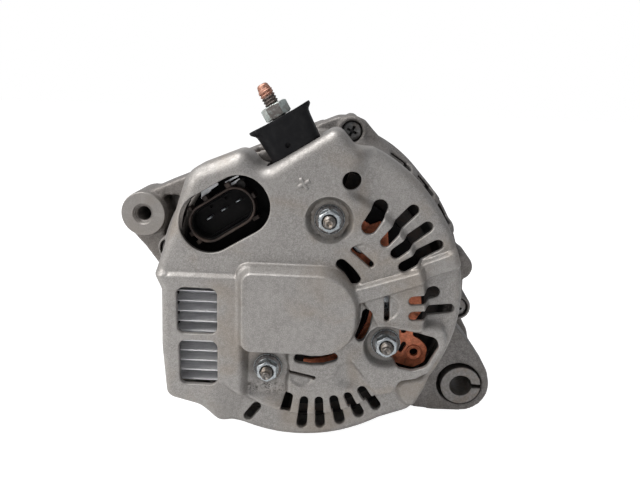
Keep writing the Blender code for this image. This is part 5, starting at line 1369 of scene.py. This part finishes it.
def flat_cutter(y0, y1, distance0, distance1):
    """Block that cuts a flat on the housing, its distance from the axis given at each end."""
    nx, nz = polar(1.0, FLAT_ANGLE)
    rings = []
    for y, near in ((y0, distance0), (y1, distance1)):
        far = FLAT_DIST + 30
        rings.append([(nx * out + nz * side, y, nz * out - nx * side) for out, side in
                      ((near, -60), (near, 36.0), (far, 36.0), (far, -60))])
    return make('tool', *loft(rings, False))


def radial_box(angle, inner, outer, half, y0, y1):
    ex, ez = polar(1.0, angle)
    corners = [(ex * radius - ez * side, ez * radius + ex * side) for radius, side in
               ((inner, -half), (outer, -half), (outer, half), (inner, half))]
    return plate('tool', corners, [], y0, y1)


def disc_tools(centres, radius, count, y0, y1):
    return [plate('tool', circle(x, z, radius, count), [], y0, y1) for x, z in centres]


def ear(y0, y1):
    """The pivot ear at the lower right seen from the rear."""
    points = [(65.4, -14.0), (70.6, -20.2, 2), (76.4, -27.2, 3), (86.2, -41.0, 8)]
    points += arc(*PIVOT, 13.6, 15, -80, 17)
    points += [(62.0, -63.0, 3), (44.0, -61.0, 4), (38.5, -56.2)]
    points += arc(0, 0, 67.0, -55, -12, 24)
    return plate('tool', rounded(points, 1.0), [], y0, y1)


def cast_finish(ob, voxel):
    """Turns a crisp solid into a casting: an even fine mesh whose corners are softened."""
    remesh = ob.modifiers.new('grid', 'REMESH')
    remesh.mode = 'VOXEL'
    remesh.voxel_size = voxel * MM * 1.0
    soften = ob.modifiers.new('soften', 'SMOOTH')
    soften.factor = 0.5
    soften.iterations = 5
    apply_modifiers(ob)


# closed profiles: radius, y, corner radius
REAR_PROFILE = (
    (HOUSING_R, -9), (HOUSING_R, -31, 3.0), (69.4, -38, 4.0), (65.4, -45, 3.0), (20.8, -45, 1.0),
    (20.8, -59, 1.0), (9.5, -59, 0.6), (9.5, -57.3), (17.8, -57.3), (17.8, -41),
    (61.5, -41, 3.0), (61.5, -15), (RIM_INNER_R, -15), (RIM_INNER_R, -9))
FRONT_PROFILE = (
    (HOUSING_R, 9), (HOUSING_R, 40, 3.5), (65, 46, 2.0), (30.0, 46, 1.0), (29.0, 45.2, 0.5),
    (11, 45.2, 0.6), (11, 41), (23.8, 41), (23.8, 26), (31, 26, 0.5), (31, 42, 1.5),
    (61.5, 42, 3.0), (61.5, 15), (RIM_INNER_R, 15), (RIM_INNER_R, 9))
# fairs the top bolt's boss into the flat on its -X side and the rim on its +X side
TOP_BOSS = ((-11.4, 67.6), (9.6, 76.3, 3), (16.0, 76.6, 4), (22.4, 74.5, 4), (25.9, 70.5, 3),
            (29.9, 66.4, 6), (35.0, 62.2), (31.5, 57.8), (16.0, 63.6), (2.0, 65.5),
            (-10.6, 64.9))


def build_rear_housing():
    rear = lathe('rear_casting', rounded(REAR_PROFILE, 0.8), 150)
    cut(rear, flat_cutter(-46, -8, FLAT_DIST, FLAT_DIST))
    bosses = [lathe('tool', rounded([(0.02, 9.0), (radius, 9.0), (radius, 32.5, 0.9),
                                     (0.02, 32.5)], 0.4), 36, (x, 0, z), TO_REAR)
              for (x, z), radius in zip(BOLTS[1:], (6.0, 6.2, 6.2))]
    bosses.append(lathe('tool', rounded([(0.02, 17.0), (6.0, 17.0), (6.0, 40.0, 1.5),
                                         (0.02, 40.0)], 0.5), 30, (66.9, 0, 12.4), TO_REAR))
    fuse(rear, *bosses)
    fuse(rear, plate('tool', rounded(TOP_BOSS, 0.8), [], -32.5, -9.0))
    fuse(rear, lathe('tool', rounded([(0.02, 30.0), (6.9, 30.0), (6.9, 32.3, 0.5),
                                      (6.2, 33.5, 0.7), (0.02, 33.5)], 0.3), 40,
                     (BOLTS[0][0], 0, BOLTS[0][1]), TO_REAR))
    fuse(rear, ear(-32.0, -15.6))
    cut(rear, *[radial_box(angle, 61.4, 80, 5.6, -43.5, -20.0) for angle in REAR_WINDOWS])
    # away from the flat the windows run on under the rim, which stays as a thin hoop
    cut(rear, *[radial_box(angle, 59.5, 69.0, 5.2, -30.0, -8.0)
                for angle in REAR_WINDOWS if not 90 < angle < 130])
    # radial slots and stud holes in the end wall
    slots = [plate('tool', slot_outline([polar(31, angle), polar(54, angle)], 7.0, 8), [], -46, -40)
             for angle in (12, 46, 110, 150, 190, 272)]
    cut(rear, *slots, *disc_tools(NUTS, 2.9, 20, -46, -40))
    # bolt holes with counterbores for the heads
    cut(rear, *disc_tools(BOLTS, 3.0, 20, -29, -8))
    cut(rear, *disc_tools(BOLTS, 4.72, 36, -46, -28.02))
    cut(rear, lathe('tool', [(RIM_INNER_R, 8.0), (RIM_INNER_R, 15.0)], 150, (0, 0, 0), TO_REAR,
                    solid=True))
    # bore of the ear, widened to one side
    x, z = PIVOT
    cut(rear, lathe('tool', [(0.02, -33.0), (10.6, -33.0), (10.6, -31.9), (9.9, -31.2),
                             (9.9, -14), (0.02, -14)], 64, (x, 0, z)))
    cut(rear, plate('tool', circle(x - 1.15, z + 0.9, 10.4, 48), [], -33.0, -27.5))
    cast_finish(rear, 0.72)
    dress(rear, 'cast', 'rear_housing', sharp=75)


LUG_ARM = ((-49.5, 49.9), (-76.5, 38.5, 6), (-84.0, 35.0, 3), (-88.0, 33.8, 3), (-94.6, 24.0),
           (-93.2, 16.4, 3), (-85.4, 7.8, 6), (-76.7, -4.2, 3), (-66.0, -9.0))
# recess in the side of the arm that faces -Y
ARM_RECESS = ((-71.2, 13.2, 2), (-67.0, 18.9, 2), (-65.6, 22.0, 2), (-65.6, 30.0, 2.5),
              (-67.2, 34.4, 2.5), (-76.0, 34.0, 2.5), (-74.0, 29.8, 2), (-72.9, 24.8, 5),
              (-74.0, 19.8, 2), (-76.4, 13.4, 2))


def build_front_housing():
    front = lathe('front_casting', rounded(FRONT_PROFILE, 0.8), 150)
    cut(front, flat_cutter(8, 47, FLAT_DIST - 0.8, FLAT_DIST - FLAT_DRAFT))
    fuse(front, *[lathe('tool', rounded([(0.02, 9.0), (4.9, 9.0), (4.5, 38.0, 1.5),
                                         (0.02, 38.0)], 0.5), 36, (x, 0, z)) for x, z in BOLTS])
    arm = [*LUG_ARM, *arc(0, 0, 65.0, 187, 134, 24)]
    fuse(front, plate('tool', rounded(arm, 1.0), [], -8.5, 20.0))
    fuse(front, lathe('tool', [(0.02, -11.5), (10.7, -11.5), (11.1, -10.9), (11.1, 15.4),
                               (10.5, 16.0), (0.02, 16.0)], 60, (LUG[0], 0, LUG[1])))
    fuse(front, ear(20.0, 34.0))
    # small raised ring on the arm
    fuse(front, lathe('tool', [(2.3, -8.9), (3.1, -8.9), (3.1, -8.0), (2.3, -8.0)], 36,
                      (-73.4, 0, 35.2)))
    cut(front, *[radial_box(angle, 58, 80, 5.0, 22.0, 37.0) for angle in FRONT_WINDOWS])
    # end wall slots, pivot and lug bores, arm recess, screw holes round the shaft
    tools = [plate('tool', slot_outline([polar(40, angle), polar(52, angle)], 14.0, 10), [],
                   40.5, 47) for angle in range(0, 360, 60)]
    tools += disc_tools([PIVOT], 5.2, 40, 19, 35) + disc_tools([LUG], 4.0, 40, -13, 17)
    tools.append(plate('tool', rounded(ARM_RECESS, 0.8), [], -9.2, 4.5))
    tools += disc_tools([polar(27.4, angle) for angle in (90, 210, 330)], 2.2, 16, 25, 36)
    cut(front, *tools)
    cut(front, *disc_tools(BOLTS, 3.0, 20, -9.5, 39))
    cut(front, lathe('tool', [(RIM_INNER_R, 8.0), (RIM_INNER_R, 15.0)], 150, solid=True))
    cast_finish(front, 0.78)
    dress(front, 'cast', 'front_housing', sharp=75)


build_rear_housing()
build_front_housing()

# machined end of the adjuster lug, with ridges down its bore
profile = [(5.3, -11.95), (10.55, -11.95), (10.85, -11.75), (10.98, -11.3), (10.98, -10.6),
           (4.3, -10.6), (4.3, 15.2), (4.1, 15.9), (3.95, 15.6)]
profile += [(3.85 - 0.30 * abs(2 * (i % 4) / 4.0 - 1), 15.4 - 25.4 * i / 60) for i in range(61)]
profile += [(3.9, -10.4), (5.15, -11.8)]
dress(lathe('adjuster_lug_face', profile, 72, (LUG[0], 0, LUG[1])), 'face',
      sharp=28)

# split steel bush in the rear ear
bush = arc(*PIVOT, 9.6, 5, 355, 90) + arc(*PIVOT, 5.2, 350, 10, 60)
dress(plate('split_bush', bush, [], -32.6, -9.6), 'bush', 'pivot_bush', bevel=0.5,
      segments=3, sharp=40)

# ================================================================ through bolts
BOLT_PROFILE = ((0.03, -37.0), (2.1, -37.0), (2.5, -36.5), (2.5, 28.3), (4.45, 28.3),
                (4.6, 28.45), (4.6, 30.5), (4.54, 30.8), (4.3, 31.08), (3.8, 31.27), (3.1, 31.4),
                (2.1, 31.48), (0.03, 31.5))
RECESS = ((2.5, 0.62, -31.7), (2.2, 0.5, -30.7), (1.0, 0.3, -29.3))   # half length, width, y
for i, (x, z) in enumerate(BOLTS, 1):
    bolt = lathe('long_bolt_%d' % i, BOLT_PROFILE, 40, (x, 0, z), TO_REAR)
    for angle in (65, 155):   # the two arms of the cross recess
        ex, ez = polar(1.0, angle)
        cut(bolt, tapered_bar('tool', lambda u, v: (x + ex * u - ez * v, z + ez * u + ex * v),
                              RECESS), flat=0.05)
    dress(bolt, 'bolt', 'through_bolt_%d' % i, sharp=32)

# ================================================================ stator
SLOT_ANGLES = [360.0 / 12 * i for i in range(12)]
CORE_BORE_R = 48.0
SLOT_HALF = 4.2   # degrees, half the slot mouth

inner = []
for angle in SLOT_ANGLES:
    inner += arc(0, 0, CORE_BORE_R, angle - 13, angle - SLOT_HALF, 8)
    inner += [polar(59.6, angle - SLOT_HALF * 0.82), polar(59.6, angle + SLOT_HALF * 0.82)]
    inner += arc(0, 0, CORE_BORE_R, angle + SLOT_HALF, angle + 13, 8)
core = plate('part', circle(0, 0, 63.6, 180), [inner], -14.7, 14.7)
# grooved outer skin that shows the laminations
profile = [(63.3, -14.6), (63.9, -14.6)]
for y in [-14.2 + 0.72 * i for i in range(40)]:
    profile += [(CORE_R, y), (CORE_R, y + 0.42), (63.86, y + 0.5), (63.86, y + 0.62)]
profile += [(63.9, 14.6), (63.3, 14.6)]
dress(joined([core, lathe('part', profile, 150)], 'laminated_core'), 'core', 'stator_core',
      sharp=30)


def strands(radius, height, angle):
    """Bundles and fine wires on the winding heads, fading in away from the core."""
    lobe = abs(math.sin(36 * angle + (height - 15.6) * 0.35))
    fine = math.sin(180 * angle + height * 5.0)
    fade = max(0.0, min(1.0, (height - 16.5) / 3.0))
    side = 1 if radius > 54 else -1
    return radius + (0.75 * (lobe ** 0.6 - 0.6) + 0.13 * fine) * fade * side


WINDING_SECTION = ((51.2, 15.7), (57.6, 15.7), (58.4, 19.0, 2.0), (57.0, 30.6, 3.2),
                   (54.4, 32.3, 1.2), (51.9, 29.6, 2.0))
parts = [lathe('part', rounded(WINDING_SECTION, 0.8), 540, direction=direction,
               reshape=strands) for direction in (TO_FRONT, TO_REAR)]
for angle in SLOT_ANGLES:
    for layer in range(5):
        wires = [polar(52.2 + 1.05 * layer, angle + offset) for offset in (-1.9, -0.63, 0.63, 1.9)]
        parts += disc_tools(wires, 0.5, 8, -17.5, 17.5)
dress(joined(parts, 'winding'), 'winding', 'stator_winding', sharp=50)

# ================================================================ rectifier
DIODE_CIRCLE_R = 34.5
POSITIVE = [polar(DIODE_CIRCLE_R, angle) for angle in (50.0, 8.0, -62.0)]
NEGATIVE = [polar(DIODE_CIRCLE_R, angle) for angle in (29.0, -6.0, -86.0)]


def rectifier_holes(own, other):
    """Seats of a plate's own diodes, stud holes, and clearance for the other plate's."""
    return ([circle(x, z, 4.5, 28) for x, z in own]
            + [circle(x, z, 3.4, 24) for x, z in (NUTS[0], NUTS[2])]
            + [circle(x, z, 4.8, 28) for x, z in other])


EYELET = (46.9, -21.3)
outer = arc(0, 0, 27.0, 84, -92, 60)[::-1]
outer += arc(0, 0, 42.6, 84, 54, 16) + arc(0, 0, 46.5, 51, 46, 4)
outer += [(33.5, 24.0, 2), (39.5, 10.5, 2), (47.8, 9.0, 2), (49.0, -2.5, 2), (46.5, -6.5, 2),
          (45.9, -13.8, 1.5), (49.5, -15.6, 2), (52.6, -19.0, 3), (51.9, -25.6, 3),
          (47.0, -28.6, 3.5), (40.5, -27.0, 3), (35.0, -24.5, 2), (24.0, -36.5, 3)]
outer += arc(0, 0, 44.0, -62, -92, 20)
holes = rectifier_holes(POSITIVE, NEGATIVE)
holes += [circle(*EYELET, 1.75, 28), slot_outline([(42.4, -17.8), (41.0, -20.6)], 2.2, 9),
          circle(41.9, -11.6, 1.2, 16)]
positive = plate('part', rounded(outer, 0.7), holes, -57.6, -56.0)
eyelet = lathe('part', rounded([(1.75, -57.5), (3.4, -57.5), (3.4, -58.3, 0.3), (2.9, -58.3, 0.3),
                                (2.6, -58.0, 0.2), (1.75, -57.9, 0.2)], 0.12), 40,
               (EYELET[0], 0, EYELET[1]))
dress(joined([positive, eyelet], 'positive_plate'), 'copper', 'rectifier_positive_plate',
      bevel=0.22)
outer = arc(0, 0, 57.0, -98, 74, 80) + arc(0, 0, 27.0, 74, -98, 60)
dress(plate('negative_plate', outer, rectifier_holes(NEGATIVE, POSITIVE), -49.8, -47.3),
      'varnished', 'rectifier_negative_plate', bevel=0.2)

# x, z, y of both ends, length of the lead towards -Y
diodes = [(x, z, -58.4, -51.6, 0.6) for x, z in POSITIVE]
diodes += [(x, z, -53.2, -46.4, 2.0) for x, z in NEGATIVE]
for i, (x, z, y0, y1, length) in enumerate(diodes, 1):
    lead = y0 - length
    profile = [(0.02, lead), (0.8, lead), (1.0, lead + 0.25), (1.0, y0 + 0.15), (1.6, y0),
               (3.55, y0), (3.85, y0 + 0.25), (4.0, y0 + 0.7), (4.0, y1 - 0.3), (3.7, y1),
               (0.02, y1)]
    dress(lathe('button_diode_%d' % i, profile, 40, (x, 0, z)), 'zinc', 'diode_%d' % i,
          sharp=30)

# ================================================================ pulley, nut, shaft
PULLEY_R, PULLEY_RIBS, RIB_PITCH = 27.5, 6, 3.56
profile = [(8.8, 47.6), (13.8, 47.6, 0.4), (14.0, 51.0, 1.0), (PULLEY_R, 51.0, 0.5)]
for y in [52.6 + RIB_PITCH * i for i in range(PULLEY_RIBS)]:
    profile += [(PULLEY_R, y, 0.25), (PULLEY_R - 2.9, y + 1.55, 0.35),
                (PULLEY_R, y + RIB_PITCH - 0.46, 0.25)]
profile += [(PULLEY_R, 77.0, 0.5), (22.0, 77.0, 0.8), (19.6, 68.0, 1.2), (8.8, 68.0)]
dress(lathe('grooved_pulley', rounded(profile, 0.25), 144), 'pulley', 'pulley',
      body='rotor', sharp=32)
nut = hex_nut('shaft_nut', 22.0, 68.3, 79.0, 8.8, (0, 0, 0), TO_FRONT, flange=(15.0, 1.5),
              count=120)
dress(nut, 'zinc', 'pulley_nut', body='rotor', sharp=28)
profile = [(0.03, -70.4), (4.4, -70.4), (4.8, -70.0), (4.8, -59.8), (7.2, -59.8), (7.5, -59.5),
           (7.5, -45.0), (8.5, -45.0), (8.5, 66.0)]
for y in [67.0 + 1.2 * i for i in range(13)]:   # grooves of the threaded end
    profile += [(8.5, y), (8.05, y + 0.6)]
profile += [(8.4, 82.4), (7.6, 84.0), (3.2, 84.0), (1.6, 81.6), (0.03, 81.0)]
dress(lathe('rotor_spindle', profile, 72), 'steel', 'rotor_shaft', body='rotor',
      sharp=30)


# ================================================================ fans
def fan(name, side, blades, tip_y, node):
    """Disc with curved blades; side is 1 at the front of the rotor and -1 at the rear."""
    low, high = sorted((17.1 * side, 18.3 * side))
    parts = [plate('part', circle(0, 0, 43.0, 96), [circle(0, 0, 14.0, 48)], low, high)]
    low, high = sorted((17.8 * side, tip_y * side))
    for i in range(blades):
        path = [(32.6 + 3.4 * j / 3,
                 360.0 / blades * i + side * (4.6 * j / 3 - 0.25 * j * j / 9)) for j in range(10)]
        near = [polar(radius, angle) for radius, angle in path]
        far = [polar(radius, angle + 2.2) for radius, angle in path]
        parts.append(plate('part', near + far[::-1], [], low, high))
    dress(joined(parts, name), 'fan', node, body='rotor', bevel=0.25)


fan('front_impeller', side=1, blades=9, tip_y=25.4, node='front_fan')
fan('rear_impeller', side=-1, blades=8, tip_y=26.2, node='rear_fan')

# ================================================================ CAD nodes kept as they are
CAD_MATERIALS = {
    'slip_ring_1': 'copper', 'slip_ring_2': 'copper', 'slip_ring_insulator': 'black',
    'brush_holder': 'black', 'brush_1': 'carbon', 'brush_2': 'carbon',
    'rectifier_terminal_block': 'potting_and_shade', 'field_coil': 'winding', 'coil_bobbin': 'black',
    'front_claw_pole': 'poles', 'rear_claw_pole': 'poles', 'bearing_retainer': 'dark',
}
CAD_PREFIXES = (('diode', 'zinc'), ('through_bolt', 'dark'), ('retainer_screw', 'dark'))


def cad_material(name):
    """Material for a CAD node by its name; anything not listed is turned steel."""
    by_prefix = [key for prefix, key in CAD_PREFIXES if name.startswith(prefix)]
    return MAT[CAD_MATERIALS.get(name, (by_prefix + ['steel'])[0])]


for ob in list(bpy.context.scene.objects):
    if ob.type != 'MESH' or ob.name in HANDLED:
        continue
    if len(ob.material_slots) == 0:
        ob.data.materials.append(cad_material(ob.name))
    for material_slot in ob.material_slots:
        material_slot.material = cad_material(ob.name)

# the crown of the cover is kept within the object's own length
for vert in cover_shell.data.vertices:
    vert.co.y = max(vert.co.y, cad_lo[1])


# ================================================================ floor
def build_floor():
    half, z = 3.0, cad_lo[2] - 0.0006
    mesh = bpy.data.meshes.new('floor')
    mesh.from_pydata([(-half, -half, z), (half, -half, z), (half, half, z), (-half, half, z)],
                     [], [(0, 1, 2, 3)])
    floor = add_object('floor', mesh)
    net = Net(bpy.data.materials.new('floor_paint'))
    cloud = net.noise(net.coords(), scale=9.0, detail=3.0, rough=0.5)
    paint = net.mix(net.remap(cloud, span=(0.3, 0.7), to=(0.0, 0.06)), (0.86, 0.86, 0.86),
                    (0.80, 0.80, 0.80))
    net.put(net.surface.inputs['Base Color'], paint)
    net.put(net.surface.inputs['Roughness'], 0.9)
    # to the camera the floor is a nearly even white; other rays see plain pale paint
    plain = net.surface.outputs[0]
    glow = net.add('Emission', 0, {'Strength': 1.48})
    bright = net.add('MixShader', 0, {0: 0.66, 1: plain, 2: glow})
    camera_ray = net.add('LightPath', 'Is Camera Ray')
    seen = net.add('MixShader', 0, {0: camera_ray, 1: plain, 2: bright})
    net.put(net.tree.nodes['Material Output'].inputs['Surface'], seen)
    mesh.materials.append(net.owner)


build_floor()


# ================================================================ lights and world
def area_light(name, place, target, size, energy, color=(1, 1, 1)):
    light = bpy.data.lights.new(name, 'AREA')
    light.shape = 'RECTANGLE'
    light.size, light.size_y = size
    light.energy = energy
    light.color = color
    ob = add_object(name, light)
    ob.location = place
    aim = Vector(target) - Vector(place)
    ob.rotation_euler = aim.to_track_quat('-Z', 'Y').to_euler()


area_light('key', place=(-0.58, -0.36, 0.40), target=(0, -0.04, 0.0), size=(0.50, 0.50),
           energy=3.5, color=(1.0, 0.98, 0.955))
area_light('fill', place=(0.55, -0.70, 0.10), target=(0, -0.04, 0.0), size=(0.6, 0.7),
           energy=0.7, color=(0.97, 0.98, 1.0))
area_light('top', place=(-0.32, -0.10, 0.74), target=(0, -0.02, 0.0), size=(0.6, 0.4),
           energy=5.4)

# the camera sees plain white, other rays a dim cool sky
scene = bpy.context.scene
scene.world = bpy.data.worlds.new('studio')
sky = Net(scene.world)
sky.tree.nodes.clear()
world_output = sky.tree.nodes.new('ShaderNodeOutputWorld')
backdrop = sky.add('MixShader', 0, {
    'Fac': sky.add('LightPath', 'Is Camera Ray'),
    1: sky.add('Background', 0, {'Color': (0.93, 0.95, 1.0, 1), 'Strength': 0.30}),
    2: sky.add('Background', 0, {'Color': (1, 1, 1, 1), 'Strength': 1.0})})
sky.put(world_output.inputs['Surface'], backdrop)

scene.view_settings.view_transform = 'Standard'
scene.view_settings.look = 'None'
scene.view_settings.exposure = 0.0
scene.view_settings.gamma = 1.0

# ================================================================ camera
# The view is set by how the world axes lie in the camera's frame (right, down, forward):
# +Y runs forward with these slopes to the right and down, and +X is tipped down by the roll.
CAMERA_PLACE = (0.01216, -0.308, 0.09215)
SLOPE_RIGHT, SLOPE_DOWN, ROLL = 0.040322581, -0.25806452, 0.042

y_axis = Vector((SLOPE_RIGHT, SLOPE_DOWN, 1.0)).normalized()
roll_cos, roll_sin = math.cos(ROLL), math.sin(ROLL)
# the forward part of X makes it square to Y
x_forward = -(roll_cos * y_axis.x + roll_sin * y_axis.y) / y_axis.z
x_axis = Vector((roll_cos, roll_sin, x_forward)).normalized()
z_axis = x_axis.cross(y_axis)
camera = bpy.data.cameras.new('camera')
camera.sensor_width = 36.0
camera.lens = 34.875
camera.clip_start, camera.clip_end = 0.02, 10.0
camera_ob = add_object('camera', camera)
pose = Matrix.Identity(4)
for i, axis in enumerate((x_axis, y_axis, z_axis)):
    pose[i][0], pose[i][1], pose[i][2] = axis.x, -axis.y, -axis.z
    pose[i][3] = CAMERA_PLACE[i]
camera_ob.matrix_world = pose
scene.camera = camera_ob
